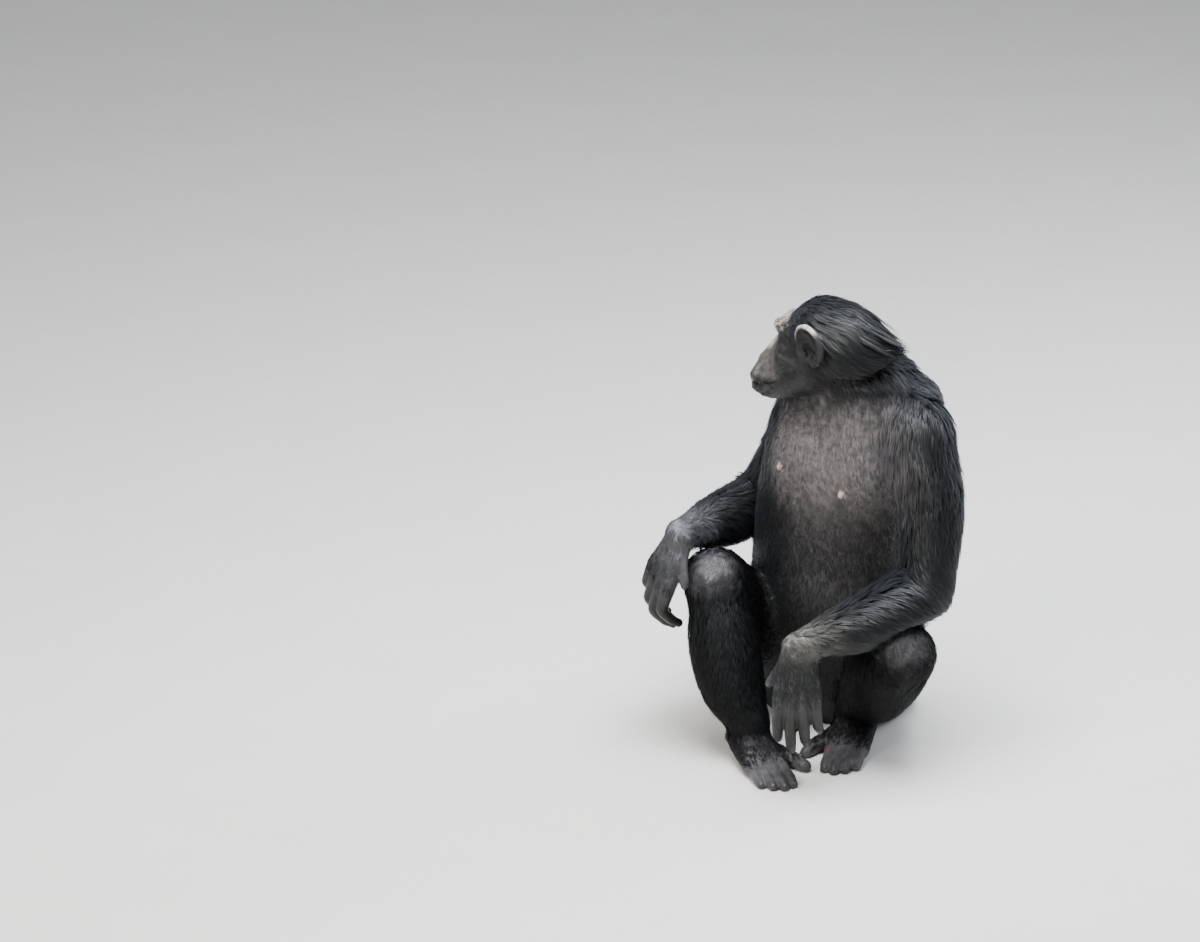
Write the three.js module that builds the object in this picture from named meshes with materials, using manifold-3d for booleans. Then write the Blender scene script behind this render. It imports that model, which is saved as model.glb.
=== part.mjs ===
// A life-size still model of an adult chimpanzee sitting on its haunches, in millimetres, +Z up.
// The feet point to -Y, the chest is turned to its right and the head looks over that shoulder.
// Each part of the body is a smooth skin round named masses, and parts meet at thin cuts.
// Where the coat is long, half of its depth is skin and the rest is locks that lie over one another.
import * as THREE from "three";
import { mergeVertices } from "three/addons/utils/BufferGeometryUtils.js";
import Module from "manifold-3d";

const wasm = await Module();
wasm.setup();

// Driving sizes
const GAP = 0.3; // between two parts that meet
const CLEAR = 1.2; // between two parts that press on each other
const ORIGIN = [-14.05, 23.75, 0]; // the middle of the footprint, in the frame the joints are given in
const SHORT_COAT = 9; // a coat no deeper than this stays in the skin, and what is deeper is locks
const DEG = Math.PI / 180;
const SIDES = { left: 1, right: -1 };

// Joints of the limbs
const JOINT = {
  left: {
    shoulder: [178, -44, 590],
    elbow: [192, -128, 343],
    wrist: [-22, -212, 268],
    hip: [108, 98, 118],
    knee: [158, -160, 232],
    ankle: [78, 4, 66],
  },
  right: {
    shoulder: [14, 134, 596],
    elbow: [-94, 228, 362],
    wrist: [-228, 4, 388],
    hip: [-28, 162, 118],
    knee: [-170, 18, 300],
    ankle: [-112, -72, 68],
  },
};

// The trunk from seat to neck, out to the tips of the coat: height, centre x and y, half width,
// half depth, turn, and the coat's depth on the chest and on the back
const TRUNK = [
  [-10, 42, 150, 116, 84, 16, 4, 8],
  [50, 42, 142, 152, 108, 18, 5, 12],
  [130, 42, 130, 164, 120, 20, 5, 16],
  [230, 45, 120, 162, 127, 22, 5, 18],
  [330, 50, 109, 158, 129, 27, 5, 20],
  [430, 56, 96, 157, 127, 33, 5, 22],
  [520, 64, 80, 152, 122, 39, 6, 22],
  [590, 75, 65, 143, 114, 40, 7, 24],
  [640, 81, 59, 134, 110, 40, 10, 26],
  [680, 86, 60, 108, 96, 40, 12, 28],
  [706, 88, 64, 78, 72, 40, 14, 28],
];

// Muscles and fat that stand out of the trunk, turned like the chest
const TRUNK_MASSES = [
  { name: "right breast", at: [-10, 34, 530], radii: [58, 46, 70], turn: 40 },
  { name: "left breast", at: [84, -22, 526], radii: [60, 46, 70], turn: 36 },
  { name: "belly", at: [38, 60, 240], radii: [112, 88, 104], turn: 22 },
  { name: "left shoulder blade", at: [160, 78, 556], radii: [58, 50, 88], turn: 40 },
  { name: "right shoulder blade", at: [66, 150, 556], radii: [58, 48, 88], turn: 40 },
  { name: "left buttock", at: [108, 146, 74], radii: [86, 80, 86], turn: 16 },
  { name: "right buttock", at: [-18, 180, 74], radii: [86, 80, 86], turn: 16 },
];
const NIPPLES = { places: [[-56, 514], [50, 490]], size: 5.5 }; // x and z of each

// Shares along a bone, flesh radius and coat depth there, and how far the limb bows out or sags
const UPPER_ARM = [
  [-0.04, 54, 20, 0],
  [0.2, 52, 20, 6],
  [0.45, 48, 20, 18],
  [0.75, 42, 19, 14],
  [1, 38, 17, 0],
];
const FOREARM = [
  [0, 38, 17, 0],
  [0.2, 43, 15, 8],
  [0.5, 42, 11, 12],
  [0.8, 31, 8, 4],
  [1, 25, 4, 0],
];
const THIGH = [
  [0, 78, 8, 0],
  [0.35, 70, 9, 0],
  [0.7, 56, 9, 0],
  [1, 46, 7, 0],
];
const LOWER_LEG = [
  [0, 45, 7, 0],
  [0.2, 50, 9, 2],
  [0.45, 57, 9, 8],
  [0.75, 52, 9, 10],
  [1, 33, 9, 0],
];
const BOW = {
  left: { upperArm: [1, 0, 0], forearm: [0, 0, -1], thigh: [0, 0, 0], lowerLeg: [1, 0.3, 0] },
  right: { upperArm: [0.6, 0, 0], forearm: [0, 0, -0.4], thigh: [0, 0, 0], lowerLeg: [-1.3, 0.3, 0] },
};

// The head's frame has its origin between the ear holes, x to the muzzle, y to its left and z up
const HEAD = { origin: [20.9, 20, 741], turn: 153, nod: 9.5 };
const EYE = { at: [57, 27, 16], radius: 11.5, lid: 2 };
const NOSTRIL = { at: [127, 7.5, -35], radii: [8, 3.6, 4.4] };
const MOUTH = { x: 111, z: -66, reach: 36, corner: [82, 39], lip: 8, groove: 1.8 };
const EAR = { root: [-2, 74, 8], length: 35, width: 29, thick: 6.5, rim: 4.5, turn: 20 };
const NECK_CUT = {
  top: [-14, 0, -34],
  topWay: [-0.55, -0.3, 0.78],
  foot: [84, 62, 668],
  footWay: [-0.35, -0.25, 0.9],
};

// Hands: which way the fingers and the thumb's side point, and the bend of each joint in degrees
const HAND = {
  left: { fingers: [-0.04, -0.12, -1], thumbward: [-1, 0.15, 0.1], curl: [10, 22, 30] },
  right: { fingers: [-0.4, 0.05, -0.91], thumbward: [0.42, -0.8, -0.42], curl: [6, 58, 16] },
};
const FINGERS = [
  { name: "index", offset: 29, bones: [88, 50, 32, 20], splay: 4 },
  { name: "middle", offset: 10, bones: [92, 58, 40, 22], splay: 1 },
  { name: "ring", offset: -10, bones: [87, 54, 37, 22], splay: -2 },
  { name: "little", offset: -28, bones: [78, 43, 28, 18], splay: -6 },
];
const FINGER_RADII = [15, 13, 13.5, 11, 10.5, 9.5, 9, 7.5];
const THUMB = { offset: 24, root: 34, length: 50, splay: 34, radii: [13, 11.5, 10, 7] };

// Feet: which way the toes point, and each toe's place and reach from the ankle
const FOOT = { left: { toes: [-0.2, -0.98, 0] }, right: { toes: [0.36, -0.93, 0] } };
const SOLE = 3; // how much of the soft sole the floor presses flat
const TOES = [
  { name: "second", offset: 25, reach: 152, radius: 10.5 },
  { name: "third", offset: 8, reach: 158, radius: 10.5 },
  { name: "fourth", offset: -9, reach: 150, radius: 10 },
  { name: "fifth", offset: -25, reach: 136, radius: 9 },
];

// Fillets between parts
const FILLET = { arm: 34, thigh: 16, neck: 40, head: 26, elbow: 14, knee: 12, wrist: 12, ankle: 14 };

// Locks of long coat: how far apart their roots are, the size of a lock and its number of lengths,
// how deep its root is sunk, the least depth of coat over a root and how far off the skin it may be,
// and how much the locks differ in size and, in radians, in direction
const LOCK = {
  spacing: 48,
  length: 116,
  width: 40,
  thick: 6,
  taper: 0.6,
  steps: 4,
  sunk: 6,
  least: 4,
  near: 6,
  vary: 0.3,
  swing: 0.5,
};
const TRIES = 30; // places drawn for each lock that would fit
const LOCK_SEED = { head: 301, others: 300 }; // where the run of drawn numbers starts for a part's locks

// How far a surface may move where needless triangles are taken out
const TIDY = { skin: 0.06, locks: 0.12, last: 0.01, weld: 0.05, needle: 0.1 };

// Small vector helpers
const add = (a, b, s = 1) => [a[0] + b[0] * s, a[1] + b[1] * s, a[2] + b[2] * s];
const sub = (a, b) => add(a, b, -1);
const scale = (a, s) => [a[0] * s, a[1] * s, a[2] * s];
const dot = (a, b) => a[0] * b[0] + a[1] * b[1] + a[2] * b[2];
const cross = (a, b) => [
  a[1] * b[2] - a[2] * b[1],
  a[2] * b[0] - a[0] * b[2],
  a[0] * b[1] - a[1] * b[0],
];
const unit = (a) => scale(a, 1 / (Math.hypot(...a) || 1));
const mix = (a, b, t) => a.map((v, i) => v + (b[i] - v) * t);
const across = (a, axis) => unit(add(a, axis, -dot(a, axis)));
const clamp = (v, lo, hi) => Math.min(hi, Math.max(lo, v));

// A frame is an origin and three axes; toFrame gives a point's place in it, fromFrame the reverse
const frameOf = (origin, x, y, z) => ({ origin, x, y, z });
const toFrame = (f, p) => {
  const d = sub(p, f.origin);
  return [dot(d, f.x), dot(d, f.y), dot(d, f.z)];
};
const fromFrame = (f, p) => add(add(add(f.origin, f.x, p[0]), f.y, p[1]), f.z, p[2]);
const WORLD = frameOf([0, 0, 0], [1, 0, 0], [0, 1, 0], [0, 0, 1]);

// A frame whose z runs from a to b
function frameAlong(a, b) {
  const z = unit(sub(b, a));
  const x = across(Math.abs(z[2]) > 0.9 ? [1, 0, 0] : [0, 0, 1], z);
  return frameOf(a, x, cross(z, x), z);
}

// Rows of numbers through which a smooth curve runs
function smoothRows(rows, perSpan) {
  const out = [];
  for (let i = 0; i < rows.length - 1; i++) {
    const [p0, p1, p2, p3] = [-1, 0, 1, 2].map((k) => rows[clamp(i + k, 0, rows.length - 1)]);
    for (let s = 0; s < perSpan; s++) {
      const t = s / perSpan;
      const spline = (v, c) => {
        const line = 2 * v + (p2[c] - p0[c]) * t;
        const bend = (2 * p0[c] - 5 * v + 4 * p2[c] - p3[c]) * t * t;
        return 0.5 * (line + bend + (3 * v - p0[c] - 3 * p2[c] + p3[c]) * t * t * t);
      };
      out.push(p1.map(spline));
    }
  }
  out.push(rows[rows.length - 1]);
  return out;
}

// Fields: each gives the distance of a point from a surface, less than 0 inside

// A round tube through stations [x, y, z, radius]
function tube(stations, perSpan = 4) {
  const rows = smoothRows(stations, perSpan);
  const spans = rows.slice(1).map((b, i) => {
    const a = rows[i];
    const d = sub(b, a);
    return [a[0], a[1], a[2], a[3], d[0], d[1], d[2], b[3] - a[3], 1 / (dot(d, d) || 1)];
  });
  return ([x, y, z]) => {
    let best = 1e9;
    for (const s of spans) {
      const px = x - s[0];
      const py = y - s[1];
      const pz = z - s[2];
      const t = clamp((px * s[4] + py * s[5] + pz * s[6]) * s[8], 0, 1);
      const d = Math.hypot(px - s[4] * t, py - s[5] * t, pz - s[6] * t) - s[3] - s[7] * t;
      if (d < best) best = d;
    }
    return best;
  };
}

// An ellipsoid in a frame
function ellipsoid(frame, centre, radii) {
  return (p) => {
    const q = sub(toFrame(frame, p), centre);
    const k = [q[0] / radii[0], q[1] / radii[1], q[2] / radii[2]];
    const k0 = Math.hypot(...k);
    const k1 = Math.hypot(k[0] / radii[0], k[1] / radii[1], k[2] / radii[2]);
    return k1 < 1e-9 ? -Math.min(...radii) : (k0 * (k0 - 1)) / k1;
  };
}

// Fields joined with a fillet about k wide, hollowed by another, or grown outwards
const blend = (a, b, k) => {
  const h = Math.max(k - Math.abs(a - b), 0) / k;
  return Math.min(a, b) - (h * h * k) / 4;
};
const joined = (k, ...fields) => (p) => fields.map((f) => f(p)).reduce((a, b) => blend(a, b, k));
const hollowed = (f, g, k) => (p) => -blend(-f(p), g(p), k);
const grown = (f, by) => (p) => f(p) - by;

// How much of a coat is in the skin: all of it, or what is left under the locks
const whole = (coat) => coat;
const core = (coat) => coat - Math.min(coat / 2, Math.max(0, coat - SHORT_COAT));

// The trunk is an oval whose centre, size and turn change with height, with its masses
function trunkField(kept) {
  const rows = smoothRows(TRUNK, 4);
  const [lowest, highest] = [rows[0][0], rows[rows.length - 1][0]];
  const oval = ([x, y, z]) => {
    let i = 0;
    while (i < rows.length - 2 && z > rows[i + 1][0]) i++;
    const t = clamp((z - rows[i][0]) / (rows[i + 1][0] - rows[i][0]), 0, 1);
    const [, cx, cy, a, b, turn, front, back] = mix(rows[i], rows[i + 1], t);
    const over = Math.max(z - highest, lowest - z);
    const c = Math.cos(turn * DEG);
    const s = Math.sin(turn * DEG);
    const wide = ((x - cx) * c - (y - cy) * s) / a;
    const deep = ((x - cx) * s + (y - cy) * c) / b;
    const k = (Math.abs(wide) ** 2.3 + Math.abs(deep) ** 2.3) ** (1 / 2.3);
    const side = (k - 1) * (b + (a - b) * (Math.abs(wide) / (Math.abs(wide) + Math.abs(deep) + 1e-9)));
    const coat = front + (back - front) * clamp(0.5 + deep / Math.max(k, 0.3), 0, 1);
    return (side > 0 && over > 0 ? Math.hypot(side, over) : Math.max(side, over)) + coat - kept(coat);
  };
  const masses = TRUNK_MASSES.map(({ at, radii, turn }) => {
    const c = Math.cos(turn * DEG);
    const s = Math.sin(turn * DEG);
    return ellipsoid(frameOf(at, [c, -s, 0], [s, c, 0], [0, 0, 1]), [0, 0, 0], radii);
  });
  return joined(30, oval, ...masses);
}

// Rows [share, radius, coat, bow] along a bone, as stations of a tube
const along = (a, b, rows, bowed, kept) =>
  rows.map(([t, radius, coat, bow]) => [...add(mix(a, b, t), bowed, bow), radius + kept(coat)]);

const headFrame = (() => {
  const [c, s] = [Math.cos(HEAD.turn * DEG), Math.sin(HEAD.turn * DEG)];
  const [level, drop] = [Math.cos(HEAD.nod * DEG), Math.sin(HEAD.nod * DEG)];
  const x = [c * level, s * level, -drop];
  const y = [-s, c, 0];
  return frameOf(HEAD.origin, x, y, cross(x, y));
})();

const inHead = (rows) => rows.map(([x, y, z, r]) => [...fromFrame(headFrame, [x, y, z]), r]);

// The head: skull and hair, brow, cheeks, muzzle, nose, jaw and lips
function headField(kept) {
  const mass = (centre, radii) => ellipsoid(headFrame, centre, radii);
  const line = (...rows) => tube(inHead(rows));
  const both = (f) => [1, -1].map((side) => f(side));
  const crown = kept(9);
  const back = kept(26);
  const whisker = kept(6);
  const skull = joined(
    30,
    mass([4, 0, 8], [62 + crown * 0.4, 57 + crown * 0.7, 54 + crown]),
    mass([-30, 0, -2], [44 + back, 48 + back * 0.7, 46 + back]),
  );
  const brow = line([50, -46, 30, 8], [65, -27, 38, 10.5], [71, 0, 35, 9], [65, 27, 38, 10.5], [50, 46, 30, 8]);
  const cheeks = both((s) => line([50, 47 * s, 20, 9], [52, 51 * s, -2, 13], [22, 56 * s, -14, 14]));
  const faceCore = mass([36, 0, -14], [40, 46, 50]);
  const muzzle = line([56, 0, -26, 42], [86, 0, -45, 39], [111, 0, -61, 35]);
  const hollow = both((s) => mass([60, 30 * s, -30], [26, 22, 26]));
  const nose = joined(
    8,
    line([72, 0, 16, 7], [92, 0, -3, 9], [113, 0, -24, 9.5], [121, 0, -30, 8]),
    ...both((s) => line([112, 12 * s, -30, 7.5], [120, 7 * s, -31, 7])),
  );
  const chin = mass([118, 0, -86], [22, 23, 13]);
  const jaw = both((s) =>
    line([98, 20 * s, -80, 16], [56, 40 * s, -70, 20 + whisker], [14, 48 * s, -50, 22 + whisker]),
  );
  const throat = mass([40, 0, -62], [52, 42, 38]);
  const face = joined(14, faceCore, muzzle, ...hollow, ...cheeks, ...jaw, chin, throat);
  let all = joined(8, joined(18, skull, face), brow);
  for (const s of [1, -1]) all = hollowed(all, mass([68, 27 * s, 16], [12, 15, 10.5]), 9);
  const lip = (z) => tube(lipStations(z, MOUTH.lip, MOUTH.lip - 3));
  return joined(7, all, nose, lip(MOUTH.z + 9), lip(MOUTH.z - 10));
}

// A lip runs round the front of the muzzle and back to both corners of the mouth
function lipStations(z, radius, inset) {
  const [cornerX, cornerY] = MOUTH.corner;
  const corner = (s) => [cornerX, (cornerY - inset) * s, z * 0.96 + 3, radius * 0.7];
  const front = [-78, -50, -25, 0, 25, 50, 78].map((turn) => {
    const reach = MOUTH.reach - inset;
    return [MOUTH.x + reach * Math.cos(turn * DEG), reach * Math.sin(turn * DEG), z, radius];
  });
  return inHead([corner(-1), ...front, corner(1)]);
}

function neckStations(kept) {
  const top = fromFrame(headFrame, [-40, 0, -18]);
  const foot = [92, 66, 640];
  return [
    [...fromFrame(headFrame, [0, 0, 4]), 58 + kept(12)],
    [...fromFrame(headFrame, [-30, 0, -2]), 60 + kept(30)],
    [...mix(top, foot, 0.35), 66 + kept(46)],
    [...mix(top, foot, 0.7), 70 + kept(42)],
    [...foot, 72 + kept(24)],
  ];
}

// A finger from its knuckle on, bent towards the palm by an angle at each joint
function fingerStations(knuckle, way, palmward, bones, curl) {
  const rows = [];
  let place = knuckle;
  let bend = 0;
  bones.forEach((length, i) => {
    if (i > 0) bend += curl[i - 1] * DEG;
    const ahead = add(scale(way, Math.cos(bend)), palmward, Math.sin(bend));
    rows.push([...add(place, ahead, i ? length * 0.12 : 0), FINGER_RADII[2 + 2 * i]]);
    rows.push([...add(place, ahead, length * 0.75), FINGER_RADII[3 + 2 * i]]);
    place = add(place, ahead, length);
  });
  rows.push([...place, FINGER_RADII[FINGER_RADII.length - 1]]);
  return rows;
}

// A hand's frame has z to the fingers, x to the thumb's side and y out of the palm
function handFrame(side) {
  const z = unit(HAND[side].fingers);
  const x = across(HAND[side].thumbward, z);
  return frameOf(JOINT[side].wrist, x, scale(cross(z, x), SIDES[side]), z);
}

function handField(side) {
  const f = handFrame(side);
  const curl = HAND[side].curl;
  const digits = FINGERS.map(({ offset, bones, splay }) => {
    const root = add(f.origin, f.x, offset * 0.42);
    const knuckle = fromFrame(f, [offset, 0, bones[0]]);
    const out = unit(add(f.z, f.x, Math.tan(splay * DEG)));
    const way = unit(add(out, f.y, Math.tan(curl[0] * DEG)));
    const finger = fingerStations(knuckle, way, across(f.y, out), bones.slice(1), curl.slice(1));
    return tube([[...root, FINGER_RADII[0]], [...mix(root, knuckle, 0.6), FINGER_RADII[1]], ...finger], 3);
  });
  const thumbWay = unit(add(add(f.z, f.x, Math.tan(THUMB.splay * DEG)), f.y, 0.35));
  const thumbRoot = fromFrame(f, [THUMB.offset, 0, THUMB.root]);
  const thumbPlaces = [fromFrame(f, [8, 0, 12]), thumbRoot];
  for (const share of [0.6, 1]) thumbPlaces.push(add(thumbRoot, thumbWay, THUMB.length * share));
  const thumb = tube(thumbPlaces.map((place, i) => [...place, THUMB.radii[i]]), 3);
  const palm = joined(9, ellipsoid(f, [0, 5, 38], [33, 15, 40]), thumb);
  return (p) => blend(palm(p), digits.map((d) => d(p)).reduce((a, b) => blend(a, b, 5)), 8);
}

// A foot's frame stands on the floor below the ankle, with y to the toes and x to the big toe
function footFrame(side) {
  const y = unit(FOOT[side].toes);
  const [x, z] = JOINT[side].ankle;
  return frameOf([x, z, 0], scale(cross(y, [0, 0, 1]), SIDES[side]), y, [0, 0, 1]);
}

function footField(side) {
  const f = footFrame(side);
  const at = (x, y, z, r) => [...fromFrame(f, [x, y, z - SOLE]), r];
  const heel = tube([at(0, -34, 27, 27), at(-2, 4, 38, 32), at(0, 0, JOINT[side].ankle[2], 33)], 3);
  const toes = TOES.map(({ offset, reach, radius }) =>
    tube(
      [
        at(offset * 0.5, 14, 36, 26),
        at(offset * 0.8, 58, 24, 19),
        at(offset, reach - 58, 15, radius + 4),
        at(offset * 1.04, reach - 34, 15.5, radius),
        at(offset * 1.06, reach - 17, 13, radius),
        at(offset * 1.06, reach, 7.5, radius * 0.8),
      ],
      3,
    ),
  );
  const bigToe = tube([at(10, 30, 26, 22), at(38, 50, 20, 17), at(58, 72, 15, 14), at(70, 96, 12, 11)], 3);
  const all = joined(6, heel, ...toes);
  return (p) => blend(all(p), bigToe(p), 10);
}

// Surfaces from fields

const EDGES = [];
for (let a = 0; a < 8; a++) for (const bit of [1, 2, 4]) if (!(a & bit)) EDGES.push([a, a | bit]);
const FACES = [1, 2, 4].flatMap((bit) => {
  const [u, v] = [1, 2, 4].filter((other) => other !== bit);
  return [0, bit].map((base) => [base, base | u, base | u | v, base | v]);
});

// Whether a cell's corners on either side of the surface hang together, for each of 256 cases
const hangsTogether = (set) => {
  if (!set) return true;
  let reached = set & -set;
  for (let pass = 0; pass < 8; pass++)
    for (const [a, b] of EDGES) {
      const both = (set >> a) & (set >> b) & 1;
      if (both && ((reached >> a) | (reached >> b)) & 1) reached |= (1 << a) | (1 << b);
    }
  return reached === set;
};
const SIMPLE = Array.from({ length: 256 }, (_, sign) => {
  const crossed = FACES.some((face) => {
    const [a, b, c, d] = face.map((corner) => (sign >> corner) & 1);
    return a === c && b === d && a !== b;
  });
  return !crossed && hangsTogether(sign) && hangsTogether(~sign & 255);
});

// Grid lines from lo to hi, in steps of at most one size, or of rules [up to, size]
function gridLines(lo, hi, rules) {
  const list = typeof rules === "number" ? [[hi, rules]] : rules;
  const lines = [lo];
  let place = lo;
  for (const [end, step] of list) {
    const stop = Math.min(hi, end);
    const n = Math.max(0, Math.ceil((stop - place) / step - 1e-6));
    for (let i = 1; i <= n; i++) lines.push(place + ((stop - place) * i) / n);
    place = Math.max(place, stop);
  }
  return lines;
}

function gradient(field, p, h = 0.5) {
  return [0, 1, 2].map((i) => {
    const a = [...p];
    const b = [...p];
    a[i] += h;
    b[i] -= h;
    return (field(a) - field(b)) / (2 * h);
  });
}

// A point moved onto the field's surface, by no more than reach in each of two steps
function settled(field, p, reach) {
  let place = p;
  for (let step = 0; step < 2; step++) {
    const slope = gradient(field, place);
    const steepness = Math.hypot(...slope);
    if (steepness < 0.2) break;
    place = add(place, slope, -clamp(field(place) / steepness, -reach, reach) / steepness);
  }
  return place;
}

// The closed surface of a field, on a grid laid in a frame, in about as many triangles as the budget
function surface(field, frame, box, steps, budget) {
  const lines = [0, 1, 2].map((i) => gridLines(box[0][i], box[1][i], steps[i]));
  const [nx, ny, nz] = lines.map((l) => l.length);
  const id = (i, j, k) => (i * ny + j) * nz + k;
  const cells = (visit) => {
    for (let i = 0; i < nx - 1; i++)
      for (let j = 0; j < ny - 1; j++) for (let k = 0; k < nz - 1; k++) visit(i, j, k);
  };
  const value = new Float64Array(nx * ny * nz).fill(1);
  cells((i, j, k) => {
    if (i && j && k) value[id(i, j, k)] = field(fromFrame(frame, [lines[0][i], lines[1][j], lines[2][k]]));
  });
  const corners = (i, j, k) =>
    [0, 1, 2, 3, 4, 5, 6, 7].map((c) => id(i + (c & 1), j + ((c >> 1) & 1), k + ((c >> 2) & 1)));
  // a cell that the surface crosses twice is filled at its nearest corner, until none is left
  for (let changed = true; changed; ) {
    changed = false;
    cells((i, j, k) => {
      const c = corners(i, j, k);
      const sign = c.reduce((bits, v, n) => bits | (value[v] < 0 ? 1 << n : 0), 0);
      if (SIMPLE[sign]) return;
      const nearest = c.filter((v) => value[v] >= 0).sort((a, b) => value[a] - value[b])[0];
      value[nearest] = -0.05;
      changed = true;
    });
  }
  const points = [];
  const vertexOf = new Int32Array(nx * ny * nz).fill(-1);
  cells((i, j, k) => {
    const c = corners(i, j, k);
    const crossings = EDGES.filter(([a, b]) => value[c[a]] < 0 !== value[c[b]] < 0);
    if (!crossings.length) return;
    const base = [i, j, k];
    const at = (bits, axis) => lines[axis][base[axis] + ((bits >> axis) & 1)];
    let sum = [0, 0, 0];
    for (const [a, b] of crossings) {
      const t = value[c[a]] / (value[c[a]] - value[c[b]]);
      sum = sum.map((v, axis) => v + at(a, axis) * (1 - t) + at(b, axis) * t);
    }
    const cell = Math.min(...[0, 1, 2].map((axis) => at(7, axis) - at(0, axis)));
    vertexOf[id(i, j, k)] = points.length;
    points.push(settled(field, fromFrame(frame, scale(sum, 1 / crossings.length)), 0.3 * cell));
  });
  const triangles = [];
  const mirrored = dot(cross(frame.x, frame.y), frame.z) < 0;
  const quad = (inside, around) => {
    const [a, b, c, d] = inside !== mirrored ? around.reverse() : around;
    const short = Math.hypot(...sub(points[a], points[c])) < Math.hypot(...sub(points[b], points[d]));
    triangles.push(...(short ? [a, b, c, a, c, d] : [b, c, d, b, d, a]));
  };
  cells((i, j, k) => {
    const here = value[id(i, j, k)] < 0;
    const at = (a, b, c) => vertexOf[id(i - a, j - b, k - c)];
    if (here !== value[id(i + 1, j, k)] < 0) quad(here, [at(0, 0, 1), at(0, 1, 1), at(0, 1, 0), at(0, 0, 0)]);
    if (here !== value[id(i, j + 1, k)] < 0) quad(here, [at(0, 0, 0), at(1, 0, 0), at(1, 0, 1), at(0, 0, 1)]);
    if (here !== value[id(i, j, k + 1)] < 0) quad(here, [at(0, 1, 0), at(1, 1, 0), at(1, 0, 0), at(0, 0, 0)]);
  });
  return solidOf(...thinned(points, triangles, budget));
}

// The same closed surface with fewer triangles, kept where it bends most: edges are drawn together,
// the cheapest first, until the budget is met or none can go within the tolerance
function thinned(points, triangles, budget, tolerance = 1e9) {
  const corners = (t) => [triangles[3 * t], triangles[3 * t + 1], triangles[3 * t + 2]];
  const facing = (a, b, c) => cross(sub(b, a), sub(c, a));
  const quadric = points.map(() => new Float64Array(11));
  const around = points.map(() => new Set());
  let left = triangles.length / 3;
  for (let t = 0; t < triangles.length / 3; t++) {
    const wide = facing(...corners(t).map((v) => points[v]));
    const area = Math.hypot(...wide);
    const [a, b, c] = unit(wide);
    const d = -dot([a, b, c], points[triangles[3 * t]]);
    const terms = [a * a, a * b, a * c, a * d, b * b, b * c, b * d, c * c, c * d, d * d, 1];
    for (const v of corners(t)) {
      terms.forEach((term, i) => {
        quadric[v][i] += term * area;
      });
      around[v].add(t);
    }
  }
  const error = (q, [x, y, z]) => {
    const squares = q[0] * x * x + q[4] * y * y + q[7] * z * z + q[9];
    return squares + 2 * (q[1] * x * y + q[2] * x * z + q[3] * x + q[5] * y * z + q[6] * y + q[8] * z);
  };
  const ring = (v) => new Set([...around[v]].flatMap(corners));
  const cheapest = (a, b) => {
    const q = quadric[a].map((v, i) => v + quadric[b][i]);
    const length = Math.hypot(...sub(points[a], points[b]));
    const costs = [points[a], points[b], mix(points[a], points[b], 0.5)].map((place) => ({
      a,
      b,
      q,
      place,
      cost: error(q, place) + length ** 4 * 0.0004,
    }));
    return costs.reduce((best, other) => (other.cost < best.cost ? other : best));
  };
  // whether a triangle keeps its side and its plane when corner v moves
  const keeps = (t, v, other, place) => {
    const old = corners(t);
    if (old.includes(other)) return true;
    const before = facing(...old.map((c) => points[c]));
    const after = facing(...old.map((c) => (c === v ? place : points[c])));
    const lifted = Math.abs(dot(unit(before), sub(place, points[v])));
    if (Math.hypot(...before) > 1e-6 && lifted > tolerance) return false;
    return dot(after, before) > 0.4 * Math.hypot(...after) * Math.hypot(...before);
  };
  for (let changed = true; changed && left > budget; ) {
    changed = false;
    const edges = [];
    points.forEach((_, a) => {
      if (around[a].size) for (const b of ring(a)) if (b > a) edges.push(cheapest(a, b));
    });
    edges.sort((e, f) => e.cost - f.cost);
    const touched = new Set();
    for (const { a, b, place, q } of edges.slice(0, Math.ceil(edges.length * 0.35))) {
      if (left <= budget) break;
      if (touched.has(a) || touched.has(b)) continue;
      const [ringA, ringB] = [ring(a), ring(b)];
      if ([...ringA].filter((v) => v !== a && v !== b && ringB.has(v)).length !== 2) continue;
      const sound = (v, other) => [...around[v]].every((t) => keeps(t, v, other, place));
      const touching = Math.hypot(...sub(points[a], points[b])) < TIDY.weld;
      const strays = error(q, place) > q[10] * tolerance ** 2;
      if (!touching && (strays || !sound(a, b) || !sound(b, a))) continue;
      for (const t of [...around[b]]) {
        const old = corners(t);
        if (old.includes(a)) {
          left--;
          for (const v of old) around[v].delete(t);
        } else {
          triangles[3 * t + old.indexOf(b)] = a;
          around[a].add(t);
        }
      }
      around[b].clear();
      points[a] = place;
      quadric[a] = q;
      for (const v of [...ringA, ...ringB]) touched.add(v);
      changed = true;
    }
  }
  const index = new Map();
  const kept = [];
  const out = [];
  for (const t of new Set(around.flatMap((set) => [...set])))
    for (const v of corners(t)) {
      if (!index.has(v)) index.set(v, kept.push(points[v]) - 1);
      out.push(index.get(v));
    }
  return [kept, out];
}

// Solids

function solidOf(points, triangles) {
  const vertProperties = new Float32Array(points.flat());
  return new wasm.Manifold(new wasm.Mesh({ numProp: 3, vertProperties, triVerts: new Uint32Array(triangles) }));
}

// A solid's points and the corners of its triangles
function meshOf(solid) {
  const { numProp, numVert, vertProperties, triVerts } = solid.getMesh();
  const at = (v) => Array.from(vertProperties.slice(v * numProp, v * numProp + 3));
  return [Array.from({ length: numVert }, (_, v) => at(v)), Array.from(triVerts)];
}

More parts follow.
